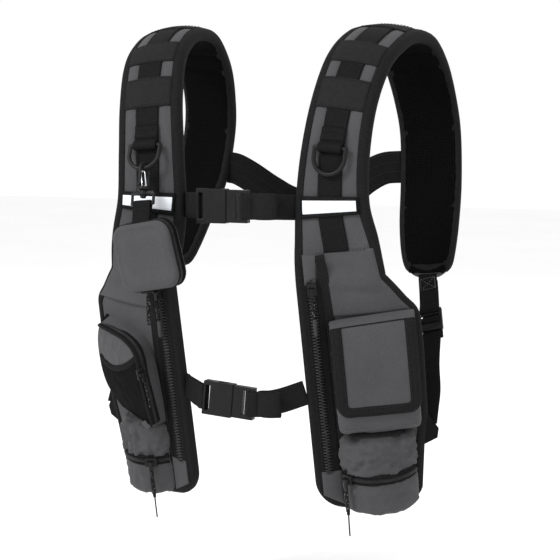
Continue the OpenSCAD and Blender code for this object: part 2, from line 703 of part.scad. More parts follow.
// ---------- Every node ----------
on_side(1) shoulder_pad();  // left_shoulder_pad
on_side(1) front_panel();  // left_front_panel
on_side(1) pad_lining();  // left_pad_lining
on_side(1) centre_webbing();  // left_centre_webbing
on_side(1) cross_bands();  // left_cross_bands
on_side(1) d_ring(0);  // left_d_ring
on_side(1) reflective_strip();  // left_reflective_strip
on_side(1) front_zip();  // left_front_zip
on_side(1) at_front_slider(zip_top) slider();  // left_front_zip_slider
on_side(1) at_front_pin(zip_top) puller();  // left_front_zip_puller
on_side(1) at_front_pin(zip_top) pull_cord(sleeve_route, sleeve_radii);  // left_front_zip_cord
on_side(1) lower_pocket(left_lower);  // left_lower_pocket
on_side(1) lower_slider(left_lower, left_lower_rest);  // left_lower_zip_slider
on_side(1) at_lower_pin(left_lower, left_lower_rest) puller();  // left_lower_zip_puller
on_side(1) at_lower_pin(left_lower, left_lower_rest) pull_cord(tail_route, tail_radii);  // left_lower_zip_cord
on_side(1) flap_pocket();  // left_flap_pocket
on_side(1) pocket_flap();  // left_pocket_flap
on_side(1) side_webbing();  // left_side_webbing
on_side(1) ladder_lock();  // left_ladder_lock
on_side(-1) shoulder_pad();  // right_shoulder_pad
on_side(-1) front_panel();  // right_front_panel
on_side(-1) pad_lining();  // right_pad_lining
on_side(-1) centre_webbing();  // right_centre_webbing
on_side(-1) cross_bands();  // right_cross_bands
on_side(-1) d_ring(hook_ring_tilt);  // right_d_ring
on_side(-1) reflective_strip();  // right_reflective_strip
on_side(-1) front_zip();  // right_front_zip
on_side(-1) at_front_slider(right_zip_rest) slider();  // right_front_zip_slider
on_side(-1) at_front_pin(right_zip_rest) puller();  // right_front_zip_puller
on_side(-1) at_front_pin(right_zip_rest) pull_cord(sleeve_route, sleeve_radii);  // right_front_zip_cord
on_side(-1) lower_pocket(right_lower);  // right_lower_pocket
on_side(-1) lower_slider(right_lower, right_lower_rest);  // right_lower_zip_slider
on_side(-1) at_lower_pin(right_lower, right_lower_rest) puller();  // right_lower_zip_puller
on_side(-1) at_lower_pin(right_lower, right_lower_rest) pull_cord(tail_route, tail_radii);  // right_lower_zip_cord
on_side(-1) mesh_pouch();  // right_mesh_pouch
on_side(-1) mesh_slider();  // right_mesh_pouch_slider
on_side(-1) at_mesh_pin() puller();  // right_mesh_pouch_puller
on_side(-1) at_mesh_pin() pull_cord(string_route, string_radii);  // right_mesh_pouch_cord
on_side(-1) side_webbing();  // right_side_webbing
on_side(-1) ladder_lock();  // right_ladder_lock
snap_hook();
snap_hook_gate();
swivel_loop();
hanging_pouch();
hanging_pouch_slider();
hanging_pouch_cord();
on_chest() female_half();  // chest_buckle_female
on_chest() male_half();  // chest_buckle_male
on_chest() prong();  // chest_buckle_upper_prong
on_chest() mirror([0, 1, 0]) prong();  // chest_buckle_lower_prong
chest_strap_right();
chest_strap_left();
on_waist() female_half();  // waist_buckle_female
on_waist() male_half();  // waist_buckle_male
on_waist() prong();  // waist_buckle_upper_prong
on_waist() mirror([0, 1, 0]) prong();  // waist_buckle_lower_prong
waist_strap_right();
waist_strap_left();
back_strap();
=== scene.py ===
import json
import math

import bmesh
import bpy
import numpy as np
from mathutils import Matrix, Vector

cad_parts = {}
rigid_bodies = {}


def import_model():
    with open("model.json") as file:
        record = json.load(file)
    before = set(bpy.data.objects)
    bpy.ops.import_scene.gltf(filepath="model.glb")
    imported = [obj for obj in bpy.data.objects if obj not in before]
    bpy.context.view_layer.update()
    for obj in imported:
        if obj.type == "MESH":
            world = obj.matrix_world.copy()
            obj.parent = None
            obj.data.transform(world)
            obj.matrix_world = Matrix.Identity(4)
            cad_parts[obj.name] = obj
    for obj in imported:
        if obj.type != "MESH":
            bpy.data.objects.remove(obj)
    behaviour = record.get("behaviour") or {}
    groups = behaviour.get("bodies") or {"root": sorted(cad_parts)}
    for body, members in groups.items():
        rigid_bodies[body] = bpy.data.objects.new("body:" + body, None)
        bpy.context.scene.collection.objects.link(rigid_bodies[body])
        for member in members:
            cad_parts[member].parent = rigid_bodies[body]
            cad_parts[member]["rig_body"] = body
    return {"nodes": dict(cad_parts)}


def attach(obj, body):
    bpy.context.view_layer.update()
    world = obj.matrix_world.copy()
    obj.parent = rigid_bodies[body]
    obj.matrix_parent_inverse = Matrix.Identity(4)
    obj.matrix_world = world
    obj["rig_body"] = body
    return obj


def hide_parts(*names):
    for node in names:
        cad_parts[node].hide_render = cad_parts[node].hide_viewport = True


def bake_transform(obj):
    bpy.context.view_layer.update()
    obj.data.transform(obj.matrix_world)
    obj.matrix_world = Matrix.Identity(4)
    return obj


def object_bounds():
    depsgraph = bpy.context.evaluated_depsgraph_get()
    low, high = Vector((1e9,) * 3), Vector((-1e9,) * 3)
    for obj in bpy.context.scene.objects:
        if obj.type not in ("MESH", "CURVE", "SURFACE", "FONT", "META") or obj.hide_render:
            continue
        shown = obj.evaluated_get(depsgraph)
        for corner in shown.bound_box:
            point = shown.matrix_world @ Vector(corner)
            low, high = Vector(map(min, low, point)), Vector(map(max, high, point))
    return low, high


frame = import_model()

# Lengths below are in millimetres unless a name ends in _m. build() turns them into metres.
MM = 0.001
cad_box = [list(corner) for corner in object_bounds()]
scene = bpy.context.scene


# ---------- Vectors and curves ----------
def vec(*numbers):
    return np.array(numbers, float)


def unit(v):
    v = np.asarray(v, float)
    return v / np.linalg.norm(v, axis=-1, keepdims=True)


def along(points, s):
    """The smooth curve through a list's rows, at row number s, carried on straight past its ends."""
    points = np.asarray(points, float)
    points = np.vstack([2 * points[0] - points[1], points, 2 * points[-1] - points[-2]])
    s = np.asarray(s, float)
    i = np.clip(np.floor(s), 0, len(points) - 4).astype(int)
    t = (s - i)[..., None]
    a, b, c, d = points[i], points[i + 1], points[i + 2], points[i + 3]
    return 0.5 * (2 * b + (c - a) * t + (2 * a - 5 * b + 4 * c - d) * t * t
                  + (3 * b - a - 3 * c + d) * t ** 3)


def smooth(points, n):
    return along(points, np.linspace(0, len(points) - 1, n))


def run_along(points):
    """The distance of each point from the first, measured along the path."""
    return np.concatenate([[0], np.cumsum(np.linalg.norm(np.diff(points, axis=0), axis=1))])


def rotation(a, b, c):
    """The turn that OpenSCAD's rotate([a, b, c]) makes."""
    a, b, c = np.radians([a, b, c])
    x = np.array([[1, 0, 0], [0, math.cos(a), -math.sin(a)], [0, math.sin(a), math.cos(a)]])
    y = np.array([[math.cos(b), 0, math.sin(b)], [0, 1, 0], [-math.sin(b), 0, math.cos(b)]])
    z = np.array([[math.cos(c), -math.sin(c), 0], [math.sin(c), math.cos(c), 0], [0, 0, 1]])
    return z @ y @ x


def noise(points, size, seed, octaves=3):
    """Smooth, repeatable noise of about -1 to 1, whose features are size long."""
    draw = np.random.default_rng(seed)
    total = np.zeros(np.shape(points)[:-1])
    for k in range(octaves):
        f = 2 * math.pi * 2 ** k / size
        for _ in range(4):
            d, e = unit(draw.normal(size=3)), unit(draw.normal(size=3))
            p, q = draw.uniform(0, 6.3, 2)
            total += np.sin(points @ d * f + p + 1.3 * np.sin(points @ e * f * 0.6 + q)) / 2 ** k
    return total / 5


def folds(points, size, seed):
    """Creases: narrow ridges and wide valleys, from -1 to 1."""
    return 1 - 2 * np.abs(noise(points, size, seed, 2)) ** 0.6


# ---------- The object's frames, as in the CAD ----------
PANEL_AT = vec(118, -122, -360)
LEAN, TURN = math.radians(15), math.radians(22.5)
PANEL_X = vec(math.cos(TURN), math.sin(TURN) * math.cos(LEAN), math.sin(TURN) * math.sin(LEAN))
PANEL_Y = vec(0, -math.sin(LEAN), math.cos(LEAN))
PANEL_Z = np.cross(PANEL_X, PANEL_Y)
PANEL_TOP, PANEL_BOTTOM, INNER, OUTER = 128, -122, -54, 60
# The panel's outer edge: heights and the x at each
OUTER_Y = [-107.5, -60, -25, 50, 84, 92, 101, 115, 128]
OUTER_X = [54.7, 60, 66, 67, 66, 63, 55, 45, 35]
# Half the padding's thickness, and how much the strap's middle stands above its edges
FACE = 6
CROWN = 3


def panel(x, y, z):
    x, y, z = (np.asarray(v, float)[..., None] for v in (x, y, z))
    return PANEL_AT + x * PANEL_X + y * PANEL_Y + z * PANEL_Z


def panel_way(x, y, z):
    return x * PANEL_X + y * PANEL_Y + z * PANEL_Z


# Stations along the shoulder strap, from the front panel over the shoulder to the rear end:
# place x, y, z, turn and slope in degrees, inner and outer half width
STATIONS = np.array([
    [*(PANEL_AT - 11 * PANEL_X + PANEL_TOP * PANEL_Y),
     math.degrees(math.atan2(PANEL_X[1], PANEL_X[0])), math.degrees(math.asin(PANEL_X[2])), 43, 46],
    [105, -157.5, -205, 9, 1, 43, 42],
    [100, -157, -165, 1, 0, 38.5, 37.5],
    [101, -154.5, -115, -1, -1, 35.5, 35.5],
    [106, -144, -65, -2, -4, 34, 34],
    [112, -121, -24, -2, -7, 33.5, 34],
    [117, -85, -2, 0, -7, 33.5, 34],
    [120, -45, 6, 3, -4, 33.5, 34],
    [123, -4, 0, 8, -4, 33.5, 34],
    [125, 32, -26, 12, -3, 33.5, 33.5],
    [128, 54, -60, 13, -1, 33, 32.5],
    [132, 62, -98, 10, 0, 33, 32],
    [137, 50, -150, 9, 0, 33, 32],
    [143.5, 24, -192, 8, 0, 32, 31],
    [148, 7, -222, 7, 0, 29, 28],
    [150, -1, -238, 6, 0, 24, 24],
    [151, -5, -246, 6, 0, 14, 14]])
LAST = len(STATIONS) - 1


def strap_axes(s):
    """Centre, side, direction and outward axes of the shoulder strap at stations s."""
    v = along(STATIONS, s)
    way = unit(along(STATIONS[:, :3], np.minimum(s + 0.02, LAST))
               - along(STATIONS[:, :3], np.maximum(s - 0.02, 0)))
    turn, slope = np.radians(v[..., 3]), np.radians(v[..., 4])
    w = np.stack([np.cos(turn) * np.cos(slope), np.sin(turn) * np.cos(slope), np.sin(slope)], -1)
    side = unit(w - way * np.sum(w * way, -1, keepdims=True))
    return v, side, way, np.cross(side, way)


def strap(s, x, h):
    """Points at stations s, x across and h above the middle layer."""
    s, x, h = np.broadcast_arrays(*(np.asarray(v, float) for v in (s, x, h)))
    v, side, _, out = strap_axes(s)
    u = x / np.where(x < 0, v[..., 5], v[..., 6])
    crown = CROWN * np.minimum(1, s / 1.5) * np.maximum(1 - u * u, 0)
    return v[..., :3] + side * x[..., None] + out * (h + crown)[..., None]


FINE = np.linspace(0, LAST, 801)
ARC = run_along(along(STATIONS[:, :3], FINE))
LENGTH = ARC[-1]


def station(q):
    return np.interp(q, ARC, FINE)


def panel_sides(y):
    """The panel's inner and outer x at heights y."""
    y = np.asarray(y, float)
    low_in = -22 - np.sqrt(np.maximum(32 ** 2 - np.minimum(y + 90, 0) ** 2, 0))
    inner = np.where(y < -90, low_in, INNER)
    foot = 34 + np.sqrt(np.maximum(22 ** 2 - np.minimum(y + 100, 0) ** 2, 0))
    return inner, np.where(y < -107.5, foot, np.interp(y, OUTER_Y, OUTER_X))


# The x that the shoulder strap's middle line meets the panel at
PANEL_MID = -11


def loop(q, x, h):
    """Points of a whole loop: q runs from the panel's bottom (-250) over the shoulder."""
    q, x, h = np.broadcast_arrays(*(np.asarray(v, float) for v in (q, x, h)))
    low = panel(x + PANEL_MID, PANEL_TOP + np.minimum(q, 0), h)
    high = strap(station(np.maximum(q, 0)), x, h)
    return np.where((q < 0)[..., None], low, high)


def loop_sides(q):
    """Inner and outer half widths at q."""
    q = np.asarray(q, float)
    inner, outer = panel_sides(PANEL_TOP + np.minimum(q, 0))
    v = along(STATIONS, station(np.maximum(q, 0)))
    return (np.where(q < 0, PANEL_MID - inner, v[..., 5]),
            np.where(q < 0, outer - PANEL_MID, v[..., 6]))


# ---------- Materials ----------
class Nodes:
    """A short way to write a node tree."""

    def __init__(self, name):
        self.material = bpy.data.materials.new(name)
        self.material.use_nodes = True
        self.tree = self.material.node_tree
        self.shader = self.tree.nodes["Principled BSDF"]
        self.coords = self.tree.nodes.new("ShaderNodeTexCoord")

    def add(self, kind, **settings):
        node = self.tree.nodes.new("ShaderNode" + kind)
        for key, value in settings.items():
            if hasattr(node, key):
                setattr(node, key, value)
            else:
                node.inputs[key.replace("_", " ")].default_value = value
        return node

    def link(self, source, target):
        self.tree.links.new(source, target)

    def wave(self, axis, period_mm, distortion=0.0):
        node = self.add("TexWave", bands_direction=axis, wave_profile="SIN",
                        Scale=0.314 / (period_mm * MM), Distortion=distortion)
        self.link(self.coords.outputs["UV"], node.inputs["Vector"])
        return node.outputs["Fac"]

    def grain(self, size_mm, detail=2.0, space="Object"):
        node = self.add("TexNoise", Scale=1 / (size_mm * MM), Detail=detail)
        self.link(self.coords.outputs[space], node.inputs["Vector"])
        return node.outputs["Fac"]

    def maths(self, operation, a, b):
        node = self.add("Math", operation=operation)
        for socket, value in zip(node.inputs, (a, b)):
            if isinstance(value, float):
                socket.default_value = value
            else:
                self.link(value, socket)
        return node.outputs[0]

    def ramp(self, fac, dark, light, low=0.3, high=0.7):
        node = self.add("ValToRGB")
        node.color_ramp.elements[0].position = low
        node.color_ramp.elements[1].position = high
        node.color_ramp.elements[0].color = (*dark, 1)
        node.color_ramp.elements[1].color = (*light, 1)
        self.link(fac, node.inputs["Fac"])
        return node.outputs["Color"]

    def bump(self, height, depth_mm, strength=1.0, below=None):
        node = self.add("Bump", Strength=strength, Distance=depth_mm * MM)
        self.link(height, node.inputs["Height"])
        if below is not None:
            self.link(below, node.inputs["Normal"])
        return node.outputs["Normal"]

    def colour(self, socket):
        self.link(socket, self.shader.inputs["Base Color"])

    def normal(self, socket):
        self.link(socket, self.shader.inputs["Normal"])


def shade(colour, k):
    return tuple(c * k for c in colour)


def cloth(name, colour, weave_mm, roughness, sheen, vary=0.12, relief=0.1):
    """Plain-woven cloth: two crossing threads, mottled dye, painted shade in the weave's hollows and
    a little unevenness.
    """
    n = Nodes(name)
    weave = n.maths("MULTIPLY", n.wave("X", weave_mm, 0.6), n.wave("Y", weave_mm, 0.6))
    mottle = n.maths("ADD", n.grain(1.4, 3.0), n.maths("MULTIPLY", n.grain(28.0), 0.5))
    # The weave darkens the colour in its hollows: painted shade added to the random dye mottle.
    mottle = n.maths("MULTIPLY", n.maths("ADD", mottle, n.maths("MULTIPLY", weave, 0.35)), 0.6)
    n.colour(n.ramp(mottle, shade(colour, 1 - vary), shade(colour, 1 + vary), 0.3, 0.75))
    soft = n.bump(n.grain(9.0, 3.0), 0.5, 0.35)
    n.normal(n.bump(weave, relief, 0.7, soft))
    n.shader.inputs["Roughness"].default_value = roughness
    n.shader.inputs["Sheen Weight"].default_value = sheen
    n.shader.inputs["Sheen Roughness"].default_value = 0.5
    n.shader.inputs["Specular IOR Level"].default_value = 0.1
    return n.material


def ribbed(name, colour, rib_mm, fine_mm, roughness, along_v=True, depth=0.22):
    """Webbing or binding tape: ribs across its length, fine threads along it, painted shade in the
    grooves.
    """
    n = Nodes(name)
    ribs = n.wave("Y" if along_v else "X", rib_mm, 0.3)
    threads = n.wave("X" if along_v else "Y", fine_mm, 0.4)
    height = n.maths("ADD", ribs, n.maths("MULTIPLY", threads, 0.35))
    # Colour follows the rib height, darker in the grooves as painted shade, with random grain on top.
    rib_shade_and_grain = n.maths("ADD", n.maths("MULTIPLY", height, 0.45), n.maths("MULTIPLY", n.grain(3.0), 0.6))
    n.colour(n.ramp(rib_shade_and_grain, shade(colour, 0.7), shade(colour, 1.5), 0.35, 0.95))
    n.normal(n.bump(height, depth, 0.8, n.bump(n.grain(12.0), 0.4, 0.3)))
    n.shader.inputs["Roughness"].default_value = roughness
    n.shader.inputs["Specular IOR Level"].default_value = 0.06
    return n.material


def spacer_mesh(name, colour, cell_mm):
    """Air mesh: a net of small cells over a soft base, with painted shade darkening the holes."""
    n = Nodes(name)
    cells = n.add("TexVoronoi", feature="F1", Scale=1 / (cell_mm * MM), Randomness=0.25)
    n.link(n.coords.outputs["UV"], cells.inputs["Vector"])
    holes = cells.outputs["Distance"]
    # The cells' sunken centres are darkened in colour: painted shade in the holes.
    n.colour(n.ramp(holes, shade(colour, 0.3), colour, 0.15, 0.55))
    n.normal(n.bump(holes, 0.5, 0.8, n.bump(n.grain(14.0), 0.6, 0.3)))
    n.shader.inputs["Roughness"].default_value = 0.9
    n.shader.inputs["Specular IOR Level"].default_value = 0.03
    return n.material


def moulded(name, colour, roughness, grain_mm=0.5, metallic=0.0, scuff=1.6):
    """Moulded plastic or metal with a fine grain and paler scuffs."""
    n = Nodes(name)
    n.colour(n.ramp(n.grain(4.0, 4.0), colour, shade(colour, scuff), 0.45, 0.85))
    rough = n.add("MapRange", To_Min=roughness - 0.06, To_Max=roughness + 0.1)
    n.link(n.grain(7.0, 3.0), rough.inputs["Value"])
    n.link(rough.outputs["Result"], n.shader.inputs["Roughness"])
    n.normal(n.bump(n.grain(grain_mm, 2.0), 0.04, 0.5))
    n.shader.inputs["Metallic"].default_value = metallic
    n.shader.inputs["Specular IOR Level"].default_value = 0.5 if metallic else 0.15
    return n.material


def flecked(name, colour, fleck):
    """A braid with a few pale threads."""
    n = Nodes(name)
    n.colour(n.ramp(n.grain(1.5, 1.0), colour, fleck, 0.62, 0.68))
    ribs = n.maths("ADD", n.wave("Y", 0.8, 0.4), n.wave("X", 0.6, 0.4))
    n.normal(n.bump(ribs, 0.2, 0.8))
    n.shader.inputs["Roughness"].default_value = 0.7
    n.shader.inputs["Specular IOR Level"].default_value = 0.15
    return n.material


pack_cloth = cloth("pack_cloth", (0.054, 0.054, 0.0565), 0.9, 0.8, 0.05, 0.2)
band_cloth = ribbed("band_cloth", (0.0135, 0.0135, 0.0142), 1.0, 0.8, 0.8, depth=0.12)
webbing = ribbed("webbing", (0.0062, 0.0062, 0.0066), 1.7, 0.7, 0.7)
strap_webbing = ribbed("strap_webbing", (0.0085, 0.0085, 0.009), 1.5, 0.7, 0.65)
binding_tape = ribbed("binding_tape", (0.0095, 0.0095, 0.0101), 1.3, 0.9, 0.8, depth=0.18)
zip_tape = ribbed("zip_tape", (0.0072, 0.0072, 0.0077), 0.9, 0.6, 0.8, depth=0.1)
lining_mesh = spacer_mesh("lining_mesh", (0.0032, 0.0032, 0.0034), 3.0)
pouch_net = spacer_mesh("pouch_net", (0.0075, 0.0075, 0.008), 1.7)
elastic = ribbed("elastic", (0.006, 0.006, 0.0064), 0.9, 0.5, 0.75, depth=0.12)
reflective = cloth("reflective", (0.74, 0.77, 0.81), 0.8, 0.45, 0.0, 0.03, 0.03)
plastic = moulded("plastic", (0.0065, 0.0065, 0.007), 0.42)
coil = moulded("coil", (0.022, 0.022, 0.023), 0.4, scuff=2.0)
steel = moulded("steel", (0.62, 0.63, 0.65), 0.24, 0.8, 1.0, 1.1)
rubber = moulded("rubber", (0.03, 0.03, 0.031), 0.6, 0.4)
dark_thread = moulded("dark_thread", (0.016, 0.016, 0.0165), 0.7, 0.2)
grey_thread = moulded("grey_thread", (0.085, 0.085, 0.088), 0.6, 0.2)
braid = flecked("braid", (0.008, 0.008, 0.0085), (0.2, 0.2, 0.205))


# ---------- Mesh makers ----------
def build(name, points, faces, material, side=1, body="harness", uvs=None, kinds=None, flat=False):
    """One mesh piece, mirrored to the wearer's right where side is -1."""
    points = np.asarray(points, float).reshape(-1, 3) * [side * MM, MM, MM]
    faces = [tuple(f) for f in faces]
    if side < 0:
        faces = [f[::-1] for f in faces]
        uvs = None if uvs is None else [corners[::-1] for corners in uvs]
    data = bpy.data.meshes.new(name)
    data.from_pydata(points.tolist(), [], faces)
    materials = material if isinstance(material, list) else [material]
    for m in materials:
        data.materials.append(m)
    if uvs is not None:
        layer = data.uv_layers.new(name="UVMap")
        layer.data.foreach_set("uv", (np.concatenate([np.asarray(c) for c in uvs]) * MM).ravel())
    if kinds is not None:
        data.polygons.foreach_set("material_index", kinds)
    data.polygons.foreach_set("use_smooth", [not flat] * len(faces))
    data.update()
    thing = bpy.data.objects.new(name, data)
    scene.collection.objects.link(thing)
    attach(thing, body)
    return thing


def grid(points, ring=False, caps=False, kind=None):
    """Faces, corner uvs and kinds for rows of points; ring joins each row's ends."""
    n, m = points.shape[:2]
    v = run_along(points.mean(1))
    if v[-1] < 1e-6:
        v = np.arange(n, dtype=float)
    wide = points[n // 2]
    if ring:
        wide = np.vstack([wide, wide[:1]])
    u = run_along(wide)
    faces, uvs, kinds = [], [], []
    for j in range(n - 1):
        for i in range(m if ring else m - 1):
            k = (i + 1) % m
            faces.append((j * m + i, j * m + k, (j + 1) * m + k, (j + 1) * m + i))
            uvs.append([(u[i], v[j]), (u[i + 1], v[j]), (u[i + 1], v[j + 1]), (u[i], v[j + 1])])
            kinds.append(0 if kind is None else kind(j, i))
    if caps:
        for j in (0, n - 1):
            row = [j * m + i for i in range(m)]
            faces.append(tuple(row[::-1] if j == 0 else row))
            uvs.append([(u[i], v[j]) for i in (range(m)[::-1] if j == 0 else range(m))])
            kinds.append(0 if kind is None else kind(min(j, n - 2), 0))
    return faces, uvs, kinds


def rows(name, points, material, side=1, body="harness", ring=False, caps=False, kind=None):
    faces, uvs, kinds = grid(points, ring, caps, kind)
    return build(name, points, faces, material, side, body, uvs, kinds)


def sweep(name, path, across, profile, material, side=1, body="harness", caps=True):
    """A closed profile (x across, z outward) carried along a path of points."""
    path = np.asarray(path, float)
    way = unit(np.gradient(path, axis=0))
    across = np.broadcast_to(np.asarray(across, float), path.shape)
    x = unit(across - way * np.sum(across * way, -1, keepdims=True))
    z = np.cross(x, way)
    profile = np.asarray(profile, float)
    if profile.ndim == 2:
        profile = np.broadcast_to(profile, (len(path), *profile.shape))
    points = path[:, None] + x[:, None] * profile[..., :1] + z[:, None] * profile[..., 1:]
    return rows(name, points, material, side, body, ring=True, caps=caps)


def flat_tape(width, thick, bow, n=8):
    """The profile of a webbing, with rounded edges and a slightly bowed face."""
    x = np.linspace(-width / 2, width / 2, n)
    rise = bow * (1 - (2 * x / width) ** 2)
    top = np.stack([x, thick / 2 + rise], 1)
    low = np.stack([x[::-1], -thick / 2 + rise[::-1]], 1)
    top[[0, -1], 1] -= thick * 0.22
    low[[0, -1], 1] += thick * 0.22
    tip = vec(width / 2 + thick * 0.2, 0)
    return np.vstack([top, tip, low, -tip])


def round_wire(r, n=10):
    a = np.linspace(0, -2 * math.pi, n, endpoint=False)
    return np.stack([r * np.cos(a), r * np.sin(a)], 1)


def tube(name, path, r, material, body, n):
    """A round strand on the wearer's true side; r is one radius or one for each point."""
    spread = np.abs(unit(np.gradient(path, axis=0))).mean(0)
    aid = np.eye(3)[int(np.argmin(spread))]
    profile = round_wire(1, n) * (np.asarray(r, float)[..., None, None] if np.ndim(r) else r)
    return sweep(name, path, aid, profile, material, 1, body)


def stitches(name, path, lift, material, side=1, body="harness", long=2.6, gap=1.1, r=0.28):
    """A row of sewn stitches along a path, raised along lift."""
    path = np.asarray(path, float)
    lift = np.broadcast_to(np.asarray(lift, float), path.shape)
    place = run_along(path)
    starts = np.arange(0.3, place[-1] - long, long + gap)
    points, faces = [], []
    at = lambda d, source: np.array([np.interp(d, place, source[:, k]) for k in range(3)])
    for start in starts:
        p0, p1 = at(start, path), at(start + long, path)
        up = unit(at(start + long / 2, lift))
        way = unit(p1 - p0)
        out = np.cross(way, up)
        base = len(points)
        for t, k, rise in ((0, 0.3, -0.2), (0.25, 1, 0.15), (0.75, 1, 0.15), (1, 0.3, -0.2)):
            c = p0 + (p1 - p0) * t + up * (rise + r * 0.4)
            points += [c + out * r * k, c + up * r * k, c - out * r * k, c - up * r * k]
        for j in range(3):
            for i in range(4):
                a, b = base + 4 * j, base + 4 * j + 4
                faces.append((a + i, a + (i + 1) % 4, b + (i + 1) % 4, b + i))
        faces += [(base + 3, base + 2, base + 1, base), tuple(range(base + 12, base + 16))]
    return build(name, points, faces, material, side, body)


def join(name, things):
    """Joins pieces on one body into the first of them."""
    data = bmesh.new()
    materials = []
    for thing in things:
        first = len(data.faces)
        data.from_mesh(thing.data)
        data.faces.ensure_lookup_table()
        for face in data.faces[first:]:
            m = thing.data.materials[face.material_index]
            if m not in materials:
                materials.append(m)
            face.material_index = materials.index(m)
    kept = things[0]
    data.to_mesh(kept.data)
    data.free()
    kept.data.materials.clear()
    for m in materials:
        kept.data.materials.append(m)
    for thing in things[1:]:
        bpy.data.objects.remove(thing)
    kept.name = name
    return kept


def hard(node, material, bevel_mm, body, segments=2):
    """A hard part: the CAD node's own shape with its edges rounded."""
    source = frame["nodes"][node]
    data = source.data.copy()
    data.name = node + "_shape"
    data.materials.clear()
    data.materials.append(material)
    shape = bmesh.new()
    shape.from_mesh(data)
    bmesh.ops.remove_doubles(shape, verts=shape.verts, dist=1e-6)
    bmesh.ops.dissolve_limit(shape, angle_limit=0.02, verts=shape.verts, edges=shape.edges)
    for face in shape.faces:
        face.smooth = True
    shape.to_mesh(data)
    shape.free()
    thing = bpy.data.objects.new(node + "_shape", data)
    scene.collection.objects.link(thing)
    if bevel_mm:
        edge = thing.modifiers.new("edge", "BEVEL")
        edge.width = bevel_mm * MM
        edge.segments = segments
        edge.limit_method = "ANGLE"
        edge.angle_limit = math.radians(38)
        edge.harden_normals = True
    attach(thing, body)
    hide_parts(node)


# ---------- Camera, light and floor ----------
CAMERA_AT, CAMERA_AIM = vec(774.972, -1968.285, -35.242), vec(-7.392, -31.865, -254.753)


def make_studio():
    """The photo's camera, a white world, three soft lights and a pale floor."""
    camera = bpy.data.objects.new("camera", bpy.data.cameras.new("camera"))
    camera.data.lens = 125.0
    camera.data.sensor_width = 36.0
    camera.location = CAMERA_AT * MM
    aim = Vector((CAMERA_AIM - CAMERA_AT) * MM)
    camera.rotation_euler = aim.to_track_quat("-Z", "Y").to_euler()
    scene.collection.objects.link(camera)
    scene.camera = camera

    world = bpy.data.worlds.new("studio")
    scene.world = world
    world.use_nodes = True
    world.node_tree.nodes["Background"].inputs["Color"].default_value = (1, 1, 1, 1)
    world.node_tree.nodes["Background"].inputs["Strength"].default_value = 1.0
    scene.view_settings.view_transform = "Standard"

    for name, place, size, power in (("key", (-1.1, -1.9, 1.3), 0.7, 48),
                                     ("fill", (1.9, -1.2, 0.5), 1.4, 9),
                                     ("rim", (0.4, 1.8, 1.2), 1.2, 8)):
        light = bpy.data.lights.new(name, "AREA")
        light.size = size
        light.energy = power
        lamp = bpy.data.objects.new(name, light)
        lamp.location = place
        lamp.rotation_euler = (Vector((0, 0, -0.24)) - lamp.location).to_track_quat(
            "-Z", "Y").to_euler()
        scene.collection.objects.link(lamp)

    n = Nodes("floor")
    n.colour(n.ramp(n.grain(300.0), (0.93, 0.93, 0.93), (0.95, 0.95, 0.95)))
    n.shader.inputs["Roughness"].default_value = 0.9
    half_m, low_m = 6.0, cad_box[0][2] - 0.09
    corners = [(x * half_m, y * half_m, low_m) for x, y in ((-1, -1), (1, -1), (1, 1), (-1, 1))]
    data = bpy.data.meshes.new("floor")
    data.from_pydata(corners, [], [(0, 1, 2, 3)])
    data.materials.append(n.material)
    floor = bpy.data.objects.new("floor", data)
    scene.collection.objects.link(floor)


make_studio()

# ---------- Pull cords ----------
# The same routes as in the CAD, from where each cord leaves its puller
SLEEVE_ROUTE = [(0, 0, 0), (0, -3, 0), (0, -9, 0.3), (0, -15, 0.4), (0, -19, 0.2), (0, -22, 0),
                (0, -30, 0.4), (0, -40, 0.8)]
TAIL_ROUTE = [(0, 0, 0), (0, -4, 0), (0, -12, 0.4), (0, -20, 0.2), (0, -27, 0), (0, -32, 0),
              (0, -42, 0.4), (0, -54, 0.8)]
STRING_ROUTE = [(0, 0, 0), (0, -4, 0), (0, -10, 0.3), (0, -17, 0.4), (0, -24, 0.3), (0, -31, 0)]
POUCH_ROUTE = [(0, 0, 0), (0.7, 0.9, 5), (1.5, 1.9, 11), (2.3, 2.9, 17), (3.1, 3.9, 24),
               (4, 5, 30.4)]
# Height of a puller's pin over the cloth, a puller's length and the front zip's x
PIN_Z, PULLER, ZIP_X = 6.9, 9, -39.5
# Points on a cord between two places of its route
STEPS = 5


def helix(path, aid, r, turns, phase, weave=0.0):
    """A strand that winds about a path, in and out by weave."""
    path = np.asarray(path, float)
    way = unit(np.gradient(path, axis=0))
    x = unit(aid - way * (way @ aid)[:, None])
    z = np.cross(x, way)
    a = 2 * math.pi * turns * np.linspace(0, 1, len(path)) + phase
    radius = (r + weave * np.cos(a * 2))[:, None]
    return path + (x * np.cos(a)[:, None] + z * np.sin(a)[:, None]) * radius


